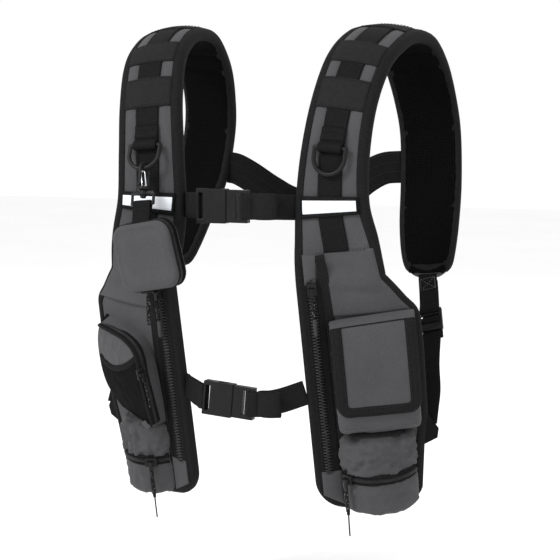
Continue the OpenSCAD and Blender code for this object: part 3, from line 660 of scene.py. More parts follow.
def make_cord(name, origin, axes, route, body, node, end, side=1):
    """A pull cord: a thin core with a braid round it, then a rubber sleeve, a knot or a tip."""
    local = np.array([origin + p[0] * axes[0] + p[1] * axes[1] + p[2] * axes[2] for p in route])
    n = (len(route) - 1) * STEPS + 1
    path = smooth(local, n)
    aid = axes[0] if end != "bare" else axes[1]
    if side < 0:
        path, aid = path * [-1, 1, 1], aid * [-1, 1, 1]
    data = bpy.data.curves.new(name, "CURVE")
    data.dimensions = "3D"
    data.bevel_depth = 0.8 * MM
    data.bevel_resolution = 3
    spline = data.splines.new("POLY")
    spline.points.add(n - 1)
    for point, place in zip(spline.points, path):
        point.co = (*(place * MM), 1)
    data.materials.append(braid)
    core = bpy.data.objects.new(name, data)
    scene.collection.objects.link(core)
    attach(core, body)
    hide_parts(node)
    length = np.linalg.norm(np.diff(path, axis=0), axis=1).sum()

    last = {"sleeve": 4 * STEPS, "tail": 4 * STEPS}.get(end, n - 1)
    thin = end == "string"
    wound = smooth(path[1:last + 1], 100)
    pieces = []
    for way in (1,) if thin else (1, -1):
        for k in range(2 if thin else 3):
            strand = helix(wound, aid, 0.55 if thin else 1.25, (4.5 if thin else 3.2) * way,
                           k * math.pi * (1 if thin else 2 / 3), 0.0 if thin else 0.3 * way)
            r = np.full(len(strand), 0.6 if thin else 0.85)
            r[:3], r[-3:] = 0.45, 0.45
            pieces.append(tube(f"{name}_strand", strand, r, braid, body, 7))
    things = [join(f"{name}_braid", pieces)]
    if end == "sleeve":
        r = np.full(2 * STEPS + 1, 2.1)
        r[0], r[-1] = 1.6, 1.5
        things.append(tube(f"{name}_sleeve", path[-2 * STEPS - 1:], r, rubber, body, 14))
    elif end in ("tail", "string"):
        knot = path[last + 2 if end == "tail" else -2]
        down = unit(path[-1] - path[-2])
        big = 1.0 if end == "tail" else 0.6
        ball = helix(knot + np.linspace(-1.2, 1.2, 40)[:, None] * down, aid, big, 2.5, 0)
        things.append(tube(f"{name}_knot", ball, 0.8 * big, braid, body, 7))
    else:
        things.append(tube(f"{name}_tip", path[-3:], [2.0, 2.1, 1.7], rubber, body, 12))
    {"tail": "knot", "string": "knot"}.get(end, "fitting")


def lower_axes(angle):
    a = math.radians(angle)
    return (panel_way(math.cos(a), 0, -math.sin(a)), PANEL_Y, panel_way(math.sin(a), 0, math.cos(a)))


# The lower pockets' axis depth and the height of the zip round their front
LOWER_Z, LOWER_ZIP_Y = -4, -79
# Centre, half width and radius of each lower pocket
LOWER = {1: (12, 38, 42), -1: (8.5, 33, 35)}
MESH_TILT = math.radians(6.3)


def make_cords():
    """All six pull cords, each hanging from the pin of its puller or slider."""
    panel_axes = (PANEL_X, PANEL_Y, PANEL_Z)
    for side, word, rest in ((1, "left", 124), (-1, "right", 114)):
        at = panel(ZIP_X, rest - PULLER, FACE + PIN_Z)
        make_cord(f"{word}_front_pull", at, panel_axes, SLEEVE_ROUTE, f"{word}_front_puller",
                  f"{word}_front_zip_cord", "sleeve", side)
    for side, word, angle in ((1, "left", -48), (-1, "right", -36)):
        x, y, z = lower_axes(angle)
        centre, _, r = LOWER[side]
        at = panel(centre, LOWER_ZIP_Y, LOWER_Z) + z * (r + PIN_Z) - y * PULLER
        make_cord(f"{word}_lower_pull", at, (x, y, z), TAIL_ROUTE, f"{word}_lower_puller",
                  f"{word}_lower_zip_cord", "tail", side)
    x = panel_way(0, -math.sin(MESH_TILT), math.cos(MESH_TILT))
    y = panel_way(0, math.cos(MESH_TILT), math.sin(MESH_TILT))
    at = panel(-26.5, 30, 36.3) - PANEL_X * 3.9 - y * PULLER
    make_cord("mesh_pouch_pull", at, (x, y, -PANEL_X), STRING_ROUTE, "mesh_puller",
              "right_mesh_pouch_cord", "string", -1)
    at = POUCH_AT + POUCH_TURN @ vec(-12, -40, -9)
    axes = tuple(POUCH_TURN @ vec(*v) for v in ((0, 0, 1), (-1, 0, 0), (0, -1, 0)))
    make_cord("hanging_pouch_pull", at, axes, POUCH_ROUTE, "pouch_slider", "hanging_pouch_cord",
              "bare")


# The hanging pouch, the D-ring's bar on the strap and the hook that hangs from the ring
POUCH_AT = vec(-85.5, -207, -218)
POUCH_TURN = rotation(98, 0, -10) @ rotation(0, 0, 10)
RING_S, RING_H, RING_DROP, RING_TILT = 3.13, 12.1, 26.2, math.radians(20)
_, _, ring_way, ring_out = strap_axes(np.array(RING_S))
ring_low = strap(RING_S, 0, RING_H) + RING_DROP * (ring_out * math.sin(RING_TILT)
                                                   - ring_way * math.cos(RING_TILT))
HOOK_AT = vec(3.5 - ring_low[0], ring_low[1], ring_low[2] + 0.6)
HOOK_TURN = rotation(-19, -5, 0)
make_cords()


# ---------- Padded loops ----------
def pad_ring(q, r=5.0, n=30):
    """One cross-section of the padding: rounded edges, a puffed top and a flat wearer's side."""
    a, b = (float(v) for v in loop_sides(q))
    x = np.linspace(-a + r, b - r, n)
    bend = np.linspace(math.pi / 2, -math.pi / 2, 9)[1:-1]
    right = [(b - r + r * math.cos(t), r * math.sin(t)) for t in bend]
    left = [(-a + r - r * math.cos(t), r * math.sin(t)) for t in bend[::-1]]
    place = lambda h: np.sign(h) * (FACE - r) + h
    xs = np.concatenate([x, [p[0] for p in right], x[::-1], [p[0] for p in left]])
    hs = np.concatenate([np.full(n, FACE), [place(p[1]) for p in right], np.full(n, -FACE),
                         [place(p[1]) for p in left]]).astype(float)
    hs[:n] += top_puff(q, x)
    return loop(np.full(len(xs), float(q)), xs, hs)


def top_puff(q, x):
    """The grey cloth stands proud between the webbing and the binding."""
    a, b = (float(v) for v in loop_sides(q))
    half = np.where(x < 0, a, b)
    t = np.clip((np.abs(x) - 12.5) / (half - 21), 0, 1)
    seam = max(min((q - 34) / 12, 1), 0)
    lump = 0.25 * np.sin(q / 9.0 + x * 0.2) * np.sin(q / 23.0)
    return seam * (0.9 * np.sin(math.pi * t) * (1 + lump))


def make_pad(side, word):
    """The padding of the shoulder strap and front panel, with mesh on the wearer's side."""
    q = np.concatenate([[-250], np.arange(-248, LENGTH - 1, 4), [LENGTH - 1.0]])
    points = np.array([pad_ring(v) for v in q])
    thing = rows(f"{word}_padding", points, [pack_cloth, lining_mesh], side, ring=True, caps=True,
                 kind=lambda j, i: int(33 <= i < 70))
    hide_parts(f"{word}_shoulder_pad", f"{word}_front_panel")


# Places of the sewn channels across the lining, and how deep they pull in
CHANNELS = [(96, 1.2), (206, 1.0), (232, 1.0), (366, 1.6), (392, 1.6), (470, 1.4), (560, 1.0)]


def make_lining(side, word):
    """The mesh on the wearer's side, pillowed between its sewn channels."""
    n = 26
    q = np.arange(2, LENGTH - 8, 3.0)
    u = np.linspace(-1, 1, n)
    outer, inner = [], []
    for v in q:
        a, b = (float(w) for w in loop_sides(v))
        x = np.where(u < 0, u * (a - 4), u * (b - 4))
        deep = max(d * math.exp(-((v - c) / 3.4) ** 2) for c, d in CHANNELS)
        ends = min(1, (v - q[0]) / 9, (q[-1] - v) / 9)
        pillow = 2.3 * np.maximum(1 - np.abs(u) ** 5, 0) ** 0.6 * max(ends, 0) ** 0.5
        ripple = 0.25 * np.sin(v / 7 + 3 * u) * np.exp(-((np.abs(u) - 0.8) / 0.2) ** 2)
        outer.append(loop(np.full(n, v), x, -6.15 - np.maximum(pillow - deep * (pillow > 0.4), 0)
                          - ripple))
        inner.append(loop(np.full(n, v), x, np.full(n, -5.0)))
    points = np.concatenate([np.array(outer), np.array(inner)[:, ::-1]], 1)
    thing = rows(f"{word}_lining", points[:, ::-1], lining_mesh, side, ring=True, caps=True)
    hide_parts(f"{word}_pad_lining")
    # Back of the front panel: the same mesh, flat
    y = np.arange(-112, 127, 6.0)
    back = []
    for v in y:
        a, b = (float(w) for w in panel_sides(v))
        x = np.linspace(a + 6, b - 6, 14)
        t = np.linspace(-1, 1, 14)
        back.append(panel(x, v, -6.3 - 1.4 * np.maximum(1 - t ** 4, 0)
                          * min(1, (v + 114) / 10) - 0.3 * np.sin(v / 11 + 2 * t)))
    thing = rows(f"{word}_panel_lining", np.array(back)[:, ::-1], lining_mesh, side)
    thing.modifiers.new("body", "SOLIDIFY").thickness = 1.0 * MM


def loop_edge():
    """A loop's outline in (q, x), from the end of the rear pad down, round the foot and back."""
    q = np.arange(-218, LENGTH - 3, 4.0)
    a, b = loop_sides(q)
    y0 = PANEL_TOP
    foot = [(-90 - 32 * math.sin(t) - y0, -22 - 32 * math.cos(t) - PANEL_MID)
            for t in np.radians(np.arange(6, 91, 7))]
    foot += [(PANEL_BOTTOM - y0, x - PANEL_MID) for x in np.arange(-15, 34, 6.0)]
    foot += [(-100 - 22 * math.cos(t) - y0, 34 + 22 * math.sin(t) - PANEL_MID)
             for t in np.radians(np.arange(0, 70, 8))]
    start = np.searchsorted(q, -235.5 + 18)
    tip = [(LENGTH - 2 - 0.02 * x * x, x) for x in np.linspace(float(b[-1]) - 3, 3 - float(a[-1]), 6)]
    q_out = np.concatenate([np.arange(-235.5, q[start], 4.0), q[start:]])
    b_out = loop_sides(q_out)[1]
    return np.vstack([np.stack([q, -a], 1)[::-1], foot, np.stack([q_out, b_out], 1), tip])


def make_binding(side, word):
    """Tape folded over the loop's whole edge, with a row of stitches on each face."""
    line = loop_edge()
    way = unit(np.roll(line, -1, 0) - np.roll(line, 1, 0))
    inward = np.stack([-way[:, 1], way[:, 0]], 1)
    inward *= np.sign(np.sum(inward * (vec(100, 0) - line), 1).sum())
    wide, t, r = 9.0, 0.8, 5.0
    bend = np.linspace(math.pi / 2, -math.pi / 2, 9)
    skin = [(wide, FACE + 0.1), (wide - 0.5, FACE + t)]
    skin += [(r - (r + t) * math.cos(a), math.copysign(FACE - r, math.sin(a))
              + (r + t) * math.sin(a)) for a in bend]
    skin += [(wide - 0.5, -FACE - t), (wide, -FACE - 0.1), (wide - 1, -FACE + 2), (r, -FACE + 2.5),
             (3, 0), (r, FACE - 2.5), (wide - 1, FACE - 2)]

    def on_edge(d, h):
        return loop(line[:, 0] + inward[:, 0] * d, line[:, 1] + inward[:, 1] * d, h)
    k = np.arange(len(line))
    pucker = 0.14 * np.sin(k * 1.9) + 0.1 * np.sin(k * 0.83 + 1)
    points = np.stack([on_edge(d, h + (np.sign(h) * pucker if abs(h) > FACE + 0.5 else 0 * k))
                       for d, h in skin], 1)
    points = np.concatenate([points, points[:1]])
    rows(f"{word}_binding", points[:, ::-1], binding_tape, side, ring=True)
    for name, rise in (("front", FACE + t), ("back", -FACE - t)):
        sewn = on_edge(wide - 1.6, np.full(len(line), rise))
        up = on_edge(wide - 1.6, np.full(len(line), rise * 1.3)) - sewn
        stitches(f"{word}_binding_{name}_stitches", sewn, up, dark_thread, side)


def strip(name, q0, q1, x0, x1, h0, h1, material, side, step, n=10):
    """A strip of tape on a loop, from q0 to q1 and from x0 to x1, following its crown."""
    q = np.linspace(q0, q1, max(int((q1 - q0) / step) + 1, 4))
    x = np.linspace(x0, x1, n)
    t = h1 - h0
    xs = np.concatenate([[x0 - 0.1], x, [x1 + 0.1], x[::-1]])
    hs = np.concatenate([[h0 + t / 2], np.full(n, h1), [h0 + t / 2], np.full(n, h0)])
    hs[[1, n]] -= t * 0.15
    points = np.array([loop(np.full(len(xs), v), xs, hs) for v in q])
    return rows(name, points, material, side, ring=True, caps=True)


# Height, thickness and width of the shoulder webbing
WEB_H, WEB_T, WEB_W = 6.3, 1.6, 25
# The stations that each cross band runs between
BANDS = [(3.875, 4.5), (4.875, 5.5), (6.5, 7.125), (7.875, 8.5), (9.5, 10)]


def q_of(s):
    return float(np.interp(s, FINE, ARC))


def make_centre_webbing(side, word):
    """The ribbed webbing along the strap and the folds that hold the D-ring's bar."""
    web = strip(f"{word}_centre_webbing", 28, q_of(LAST - 2), -WEB_W / 2, WEB_W / 2, 6.0,
                WEB_H + WEB_T, webbing, side, 2.5)
    sewn = []
    for x in (-WEB_W / 2 + 1.6, WEB_W / 2 - 1.6):
        q = np.arange(32, q_of(LAST - 2), 3.0)
        line = loop(q, x, np.full(len(q), WEB_H + WEB_T + 0.1))
        _, _, _, out = strap_axes(station(q))
        sewn.append(stitches("sewn", line, out, dark_thread, side))
    join(f"{word}_centre_stitches", sewn)
    # Fold over the bar, in the strap's own axes: y up along the strap, z outward
    p = strap(RING_S, 0, RING_H)
    _, x, y, z = strap_axes(np.array(RING_S))
    fold = [(21, -3.6), (15, -3.3), (9.5, -1.6), (7.0, -2.4), (5.2, -0.6), (3.4, 2.2), (0, 3.7),
            (-3.1, 2.1), (-3.9, -0.8), (-2.6, -3.2), (1.5, -3.9)]
    path = np.array([p + y * a + z * b for a, b in smooth(fold, 44)])
    sweep(f"{word}_ring_keeper", path, x, flat_tape(WEB_W, 1.5, 0.15, 10), webbing, side)
    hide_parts(f"{word}_centre_webbing")
    rim = [p + y * 17.5 + x * v - z * 2.6 for v in np.linspace(-11, 11, 12)]
    stitches(f"{word}_keeper_stitches", rim, z, dark_thread, side)


def make_bands(side, word):
    """The five cloth bands sewn across the loop over its webbing."""
    pieces, sewn = [], []
    for k, (s0, s1) in enumerate(BANDS):
        q0, q1 = q_of(s0), q_of(s1)
        a, b = (float(v) for v in loop_sides((q0 + q1) / 2))
        n = 15
        q = np.linspace(q0, q1, 9)
        x = np.linspace(-a + 8.2, b - 8.2, n)
        t = np.linspace(-1, 1, n)
        points = []
        for j, v in enumerate(q):
            edge = abs(2 * j / 8 - 1)
            sag = 0.5 * (1 - edge ** 3) * np.cos(t * math.pi / 2)
            top = 8.6 + sag + 0.15 * np.sin(k + t * 7)
            top = np.where(np.abs(x) > WEB_W / 2, top - 1.2 * np.clip(
                (np.abs(x) - WEB_W / 2) / 12, 0, 1), top)
            xs = np.concatenate([x, x[::-1]])
            hs = np.concatenate([top, top[::-1] - 1.1])
            points.append(loop(np.full(2 * n, v), xs, hs))
        pieces.append(rows("band", np.array(points), band_cloth, side, ring=True, caps=True))
        for v in (q0 + 1.4, q1 - 1.4):
            xs = np.linspace(-a + 10, b - 10, 24)
            h = np.where(np.abs(xs) > WEB_W / 2, 8.75 - 1.2 * np.clip(
                (np.abs(xs) - WEB_W / 2) / 12, 0, 1), 8.8)
            line = loop(np.full(24, v), xs, h + 0.1)
            out = strap_axes(station(np.array(v)))[3]
            sewn.append(stitches("sewn", line, out, dark_thread, side))
    band = join(f"{word}_bands", pieces)
    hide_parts(f"{word}_cross_bands")
    join(f"{word}_band_stitches", sewn)


def make_reflector(side, word):
    """The silver strip on its piece of webbing, at the foot of the shoulder strap."""
    q0, q1 = q_of(1.78), q_of(2.22)
    a, b = (float(v) for v in loop_sides((q0 + q1) / 2))
    base = strip(f"{word}_reflector_webbing", q0, q1, -a * 0.8, b * 0.8, 7.4, 9.3, webbing, side,
                 2.0, 16)
    mid = (q0 + q1) / 2
    strip(f"{word}_reflective_tape", mid - 6, mid + 6, -a * 0.74, b * 0.74, 9.2, 9.75,
          reflective, side, 2.0, 16)
    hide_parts(f"{word}_reflective_strip")
    out = strap_axes(station(np.array(mid)))[3]
    x = np.linspace(-a * 0.75, b * 0.75, 30)
    lines = [stitches("sewn", loop(np.full(30, mid + d), x, np.full(30, 9.45)), out,
                      dark_thread, side) for d in (-7.6, 7.6)]
    join(f"{word}_reflector_stitches", lines)


# ---------- Front panels ----------
def panel_strip(name, path, width, z0, z1, material, side):
    """Tape on the panel's face along a path of (x, y), between heights z0 and z1."""
    path = smooth(np.asarray(path, float), max(8, len(path) * 8))
    points = panel(path[:, 0], path[:, 1], np.full(len(path), (z0 + z1) / 2))
    way = unit(np.gradient(points, axis=0))
    across = np.cross(way, PANEL_Z)
    return sweep(name, points, across, flat_tape(width, z1 - z0, 0.2), material, side)


def zip_teeth(name, path, normals, half, tall, pitch, material, side, body="harness", long=1.1):
    """Two rows of coarse teeth that mesh along a path."""
    path = np.asarray(path, float)
    place = run_along(path)
    normals = np.broadcast_to(np.asarray(normals, float), path.shape)
    at = lambda d, source: np.array([np.interp(d, place, source[:, k]) for k in range(3)])
    points, faces = [], []
    for k, d in enumerate(np.arange(0, place[-1], pitch / 2)):
        c, up = at(d, path), unit(at(d, normals))
        way = unit(at(min(d + 1, place[-1]), path) - at(max(d - 1, 0), path))
        out = np.cross(way, up) * (1 if k % 2 else -1)
        base = len(points)
        for x, z, w in ((-0.28, 0, 1), (-0.28, 0.8, 0.8), (0.1, 1, 0.75), (0.75, 0.9, 0.75),
                        (1, 0.45, 0.9), (1, 0, 1)):
            for end in (-1, 1):
                points.append(c + out * x * half + up * z * tall + way * end * w * long / 2)
        for j in range(5):
            a = base + 2 * j
            faces.append((a, a + 1, a + 3, a + 2))
        faces.append(tuple(base + v for v in (0, 2, 4, 6, 8, 10)))
        faces.append(tuple(base + v for v in (11, 9, 7, 5, 3, 1)))
    build(name, points, faces, material, side, body)


def make_front_zip(side, word):
    """The front panel's long zip on its tape, with the taped edge beside it."""
    tape = panel_strip(f"{word}_zip_tape", [(-38.5, -100), (-38.5, 30), (-38.5, 133)], 23, 5.9, 7.1,
                       zip_tape, side)
    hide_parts(f"{word}_front_zip")
    y = np.linspace(-79, 134, 60)
    zip_teeth(f"{word}_zip_teeth", panel(np.full(60, ZIP_X), y, np.full(60, 7.0)), PANEL_Z, 4.1,
              2.2, 3.3, coil, side, long=1.2)
    panel_strip(f"{word}_inner_facing", [(-29, 158), (-26.6, 132), (-23.6, 75), (-22.6, 0),
                                         (-22.2, -70), (-22, -117)], 9.5, 6.0, 7.2, binding_tape,
                side)
    for x in (-33.8, -45.4):
        line = panel(np.full(40, x), np.linspace(-78, 130, 40), np.full(40, 7.3))
        stitches(f"{word}_zip_stitches", line, PANEL_Z, dark_thread, side)
    for shift in (-3.6, 3.6):
        path = smooth(np.array([(-29, 156), (-26.6, 132), (-23.6, 75), (-22.6, 0), (-22.2, -70),
                                (-22, -115)], float), 60)
        line = panel(path[:, 0] + shift, path[:, 1], np.full(60, 7.3))
        stitches(f"{word}_facing_stitches", line, PANEL_Z, dark_thread, side)
    # Cloth at both ends of the zip: a garage at the top and a gusset at the bottom
    for name, outline, bow in (
            ("garage", [(-46, 128), (-35, 126), (-33, 158), (-46, 160)], 1.3),
            ("gusset", [(-47.5, -77.5), (-26.4, -77.5), (-26.4, -116), (-47.5, -104)], 1.6)):
        a, b, c, d = (np.array(p, float) for p in outline)
        t, v = np.meshgrid(np.linspace(0, 1, 9), np.linspace(0, 1, 12))
        flat = ((1 - v)[..., None] * ((1 - t)[..., None] * a + t[..., None] * b)
                + v[..., None] * ((1 - t)[..., None] * d + t[..., None] * c))
        rise = 7.3 + bow * np.sin(math.pi * t) * np.sin(math.pi * v) ** 0.5
        points = panel(flat[..., 0], flat[..., 1], rise)
        if name == "gusset":
            points = points[::-1]
        thing = rows(f"{word}_zip_{name}", points, pack_cloth, side)
        thing.modifiers.new("body", "SOLIDIFY").thickness = 1.2 * MM


def make_upper_cloth(side, word):
    """The grey cloth between the strap and the pocket, creased where the pocket pulls it."""
    n = 26
    points = []
    for q in np.arange(-36, 31, 2.5):
        b = float(loop_sides(q)[1])
        y = PANEL_TOP + q
        left = -29 - PANEL_MID + 5.0 + (158 - y) * 0.06
        x = np.linspace(left, b - 5.5, n)
        t = np.linspace(0, 1, n)
        fall = np.clip((30 - q) / 62, 0, 1)
        belly = 1.0 + 2.6 * fall ** 1.5 * np.sin(math.pi * np.clip(t, 0.02, 0.98)) ** 0.7
        crease = 1.5 * np.exp(-((q + 11 + 9 * (t - 0.3)) / 4.0) ** 2) * np.sin(math.pi * t) ** 1.4
        crease += 0.8 * np.exp(-((q - 8 + 14 * (t - 0.5)) / 5.0) ** 2) * np.sin(math.pi * t)
        points.append(loop(np.full(n, q), x, 6.1 + belly - crease))
    thing = rows(f"{word}_upper_cloth", np.array(points), pack_cloth, side)
    thing.modifiers.new("body", "SOLIDIFY").thickness = 0.9 * MM
    x = np.linspace(-22, 32, 30)
    line = loop(np.full(30, 28.0), x, np.full(30, 7.2))
    stitches(f"{word}_hem_stitches", line, PANEL_Z, dark_thread, side)


# ---------- Pockets ----------
def soft_shell(name, ring_at, levels, side, amount, size, seed, mask=None):
    """A lofted shell of closed rings, crumpled along its own normals where mask allows."""
    points = np.array([ring_at(v) for v in levels])
    across = np.roll(points, -1, 1) - np.roll(points, 1, 1)
    normal = np.cross(across, np.gradient(points, axis=0))
    normal = normal / np.maximum(np.linalg.norm(normal, axis=-1, keepdims=True), 1e-9)
    centre = points.reshape(-1, 3).mean(0)
    if np.sum(normal * (points - centre)) < 0:
        normal = -normal
    push = amount * folds(points, size, seed) + 0.4 * amount * noise(points, size / 2.5, seed + 9)
    if mask is not None:
        push = push * np.array([mask(v, points.shape[1]) for v in levels])
    points = points + normal * push[..., None]
    return rows(name, points, pack_cloth, side, ring=True, caps=True)


def box_ring(x0, x1, z0, z1, y, r, bow, side_bow):
    """A rounded-rectangle ring at height y in the panel's axes."""
    t = np.linspace(0, 1, 14)
    bend = np.linspace(0, math.pi / 2, 6)
    face_x = x0 + r + (x1 - x0 - 2 * r) * t
    face_z = z1 + bow * np.sin(math.pi * t)
    left = [(x0 + r - r * math.sin(a), z1 - r + r * math.cos(a)) for a in bend[::-1]]
    right = [(x1 - r + r * math.sin(a), z1 - r + r * math.cos(a)) for a in bend]
    wall = np.linspace(0, 1, 7)
    down = [(x1 + side_bow * math.sin(math.pi * w), z1 - r - (z1 - r - z0) * w) for w in wall[1:]]
    up = [(x0 - side_bow * math.sin(math.pi * w), z0 + (z1 - r - z0) * w) for w in wall[:-1]]
    flat = np.array(up + left[:-1] + list(zip(face_x, face_z)) + right[1:] + down)
    return panel(flat[:, 0], np.full(len(flat), float(y)), flat[:, 1])


# The flap pocket's sides and ends in the panel's axes
FLAP_X0, FLAP_X1, FLAP_Y0, FLAP_Y1 = -25, 58, -30, 86


def make_flap_pocket():
    """The box-shaped pocket under the flap."""
    def ring(y):
        low = np.clip((y - FLAP_Y0) / 7, 0, 1)
        e = 7 * (1 - math.sqrt(1 - (1 - low) ** 2))
        high = np.clip((FLAP_Y1 - y) / 3, 0, 1)
        top = 2.0 * (1 - math.sqrt(1 - (1 - high) ** 2))
        deep = 29.0 - 7.0 * np.clip((y - 20) / 66, 0, 1)
        return box_ring(FLAP_X0 + e * 0.6, FLAP_X1 - e * 0.6, 5.5, deep - e - top, y, 6.5,
                        1.2, 0.5)
    levels = np.concatenate([[-30, -29.7, -29, -27.5, -25.5, -23], np.arange(-20, 84, 3.0),
                             [84, 85, 86]])
    shell = soft_shell("flap_pocket", ring, levels, 1, 0.7, 34, 5)
    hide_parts("left_flap_pocket")
    line = panel(np.linspace(-21, 53, 30), np.full(30, -23.5), np.full(30, 30.6))
    stitches("flap_pocket_stitches", line, PANEL_Z, grey_thread)


# The flap's run in (y, z), from its hinge over the top and down the front
FLAP_RUN = smooth([(93.0, 8.2), (94.0, 13), (93.4, 18), (90.5, 23), (85, 26.6), (77, 29.0),
                   (60, 31.6), (30, 33.2), (8, 33.0), (-9, 32.0)], 80)
FLAP_PLACE = run_along(FLAP_RUN)
FLAP_NORMAL = unit(np.gradient(FLAP_RUN, axis=0))[:, ::-1] * [1, -1]
FLAP_LONG, FLAP_IN, FLAP_OUT, FLAP_R = FLAP_PLACE[-1], -25.5, 60.0, 15.0


def flap_at(x, d, h):
    """Points of the flap at x across, d along its run and h above its face."""
    x, d, h = np.broadcast_arrays(*(np.asarray(v, float) for v in (x, d, h)))
    y, z, ny, nz = (np.interp(d, FLAP_PLACE, c) for c in (*FLAP_RUN.T, *FLAP_NORMAL.T))
    v = (2 * x - FLAP_IN - FLAP_OUT) / (FLAP_OUT - FLAP_IN)
    y = y - 4.5 * np.clip((y - 40) / 50, 0, 1) * (1 - v) / 2
    t = np.clip(d / FLAP_LONG, 0, 1)
    rise = h + 1.0 * (1 - v ** 4) * np.sin(math.pi * t) ** 0.6 - 0.8 * np.abs(v) ** 6
    rise = rise + 0.5 * t * folds(np.stack([x, d, 0 * x], -1), 60, 3)
    return panel(x, y + ny * rise, z + nz * rise)


def make_flap():
    """The pocket's flap: one cloth with a binding on three edges and a dark cord across its top, near
    the hinge.
    """
    d = np.linspace(0, FLAP_LONG, 56)
    short = FLAP_R - np.sqrt(FLAP_R ** 2 - np.maximum(FLAP_R - (FLAP_LONG - d), 0) ** 2)
    x = np.linspace(FLAP_IN + short, FLAP_OUT - short, 27, axis=1)
    front, back = flap_at(x, d[:, None], 0), flap_at(x, d[:, None], -1.4)
    thing = rows("pocket_flap", np.concatenate([front, back[:, ::-1]], 1)[:, ::-1], pack_cloth, 1,
                 "flap", ring=True, caps=True)
    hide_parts("left_pocket_flap")
    # Binding down one side, round the bottom and up the other, as an outline in (x, d)
    first = 17.5
    down = np.arange(first, FLAP_LONG - FLAP_R, 3.0)
    turn = np.radians(np.arange(0, 91, 9))
    low = FLAP_LONG - FLAP_R
    line = ([(FLAP_IN, v) for v in down]
            + [(FLAP_IN + FLAP_R * (1 - math.cos(a)), low + FLAP_R * math.sin(a)) for a in turn]
            + [(v, FLAP_LONG) for v in np.arange(FLAP_IN + FLAP_R + 4, FLAP_OUT - FLAP_R - 3, 4.0)]
            + [(FLAP_OUT - FLAP_R * (1 - math.cos(a)), low + FLAP_R * math.sin(a))
               for a in turn[::-1]]
            + [(FLAP_OUT, v) for v in down[::-1]])
    line = np.array(line)
    way = unit(np.gradient(line, axis=0))
    inward = np.stack([way[:, 1], -way[:, 0]], 1)
    on_edge = lambda k, h: flap_at(line[:, 0] + inward[:, 0] * k, line[:, 1] + inward[:, 1] * k, h)
    skin = [(11.2, 0.1), (10.8, 0.95), (5, 1.1), (0.6, 0.95), (-0.6, 0.1), (-0.6, -1.5),
            (0.6, -2.3), (6, -2.3), (6.2, -1.2), (3, -0.7), (10, -0.4)]
    bind = rows("pocket_flap_binding", np.stack([on_edge(k, h) for k, h in skin], 1), binding_tape,
                1, "flap", ring=True, caps=True)
    for k in (9.6, 1.6):
        low_at, high_at = on_edge(k, 1.05), on_edge(k, 2.0)
        stitches("pocket_flap_stitches", low_at, high_at - low_at, dark_thread, 1,
                               "flap")
    # A dark round cord across the flap's top, near its hinge, darker than the cloth on either side of
    # it.
    seam = flap_at(np.linspace(FLAP_IN + 1, FLAP_OUT - 1, 30), np.full(30, first), 0.2)
    sweep("pocket_flap_top_dark_cord", seam, PANEL_Y, round_wire(0.7, 8), binding_tape, 1,
                        "flap")


def lower_ring(pocket, y, inset=0.0, n=40):
    """A ring of a lower pocket: a round front between flat sides."""
    centre, half, r = pocket
    half, r = half - inset, r - inset
    x = np.linspace(-half, half, n)
    z = LOWER_Z + np.sqrt(r * r - x * x)
    wall = np.linspace(0, 1, 5)
    left = [(-half - 0.4, 5.6 + (z[0] - 5.6) * w) for w in wall[:-1]]
    right = [(half + 0.4, z[-1] - (z[-1] - 5.6) * w) for w in wall[1:]]
    flat = np.array(left + list(zip(x, z)) + right)
    return panel(flat[:, 0] + centre, np.full(len(flat), float(y)), flat[:, 1])


def make_lower_pocket(side, word):
    """The crumpled round-fronted pocket at the panel's foot, with a zip across its front."""
    centre, half, radius = LOWER[side]

    def ring(y):
        end = min((y + 120) / 9, (-38 - y) / 7, 1)
        inset = 8 * (1 - math.sqrt(max(1 - (1 - max(end, 0)) ** 2, 0)))
        pinch = 1.5 * math.exp(-((y + 79) / 6) ** 2)
        return lower_ring(LOWER[side], y, inset + pinch)

    def mask(y, n):
        t = np.linspace(-1, 1, n)
        low = 0.5 if y < -84 else 0.15 if y < -74 else 1.25
        return low * np.clip((1 - np.abs(t)) * 6, 0, 1)
    levels = np.concatenate([[-120, -119.6, -118.6, -117, -115], np.arange(-113, -44, 1.8),
                             [-43, -41.5, -40, -39, -38.3, -38]])
    seed = 11 if side > 0 else 29
    shell = soft_shell(f"{word}_lower_pocket", ring, levels, side, 2.4, 26, seed, mask)
    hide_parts(f"{word}_lower_pocket")
    # The zip follows the round front
    reach = math.asin(half / radius) - 0.05
    a = np.linspace(-reach, reach, 50)
    r = radius - 0.6
    path = panel(centre + r * np.sin(a), np.full(50, float(LOWER_ZIP_Y)), LOWER_Z + r * np.cos(a))
    out = panel_way(1, 0, 0) * np.sin(a)[:, None] + PANEL_Z * np.cos(a)[:, None]
    sweep(f"{word}_lower_zip_tape", path, PANEL_Y, flat_tape(11.5, 1.6, 0.3, 8), zip_tape, side)
    teeth = path + out * 0.9
    zip_teeth(f"{word}_lower_zip_teeth", teeth, out, 2.3, 1.5, 2.2, coil, side, long=0.85)
    for d in (-4.6, 4.6):
        line = path + PANEL_Y * d + out * 0.95
        stitches(f"{word}_lower_zip_stitches", line, out, dark_thread, side)


# The mesh pouch's face edges and where its walls meet the panel, inner and outer, going up
MESH_IN = [(-24.5, -36, 27), (-25.6, -15, 31), (-26, 5, 34), (-25.5, 25, 36.5), (-24, 40, 36),
           (-16, 51, 33), (-4, 57, 30), (10, 60, 27)]
MESH_OUT = [(44, -34.5, 9), (50, -22, 13), (54, -8, 17), (55, 8, 20), (55, 24, 21.5),
            (55, 40, 21.5), (54.5, 52, 20), (53.5, 61, 17.5)]
FOOT_IN = [(-24, -35, 6), (-23.5, -15, 6), (-22, 5, 6), (-20, 25, 6), (-17, 40, 6), (-12, 50, 6),
           (-3, 58, 6), (6, 61, 6)]
FOOT_OUT = [(49, -34, 6), (53, -24, 6), (55, -8, 6), (55, 8, 6), (55, 24, 6), (54.5, 42, 6),
            (53.5, 58, 6), (52.5, 71, 6)]


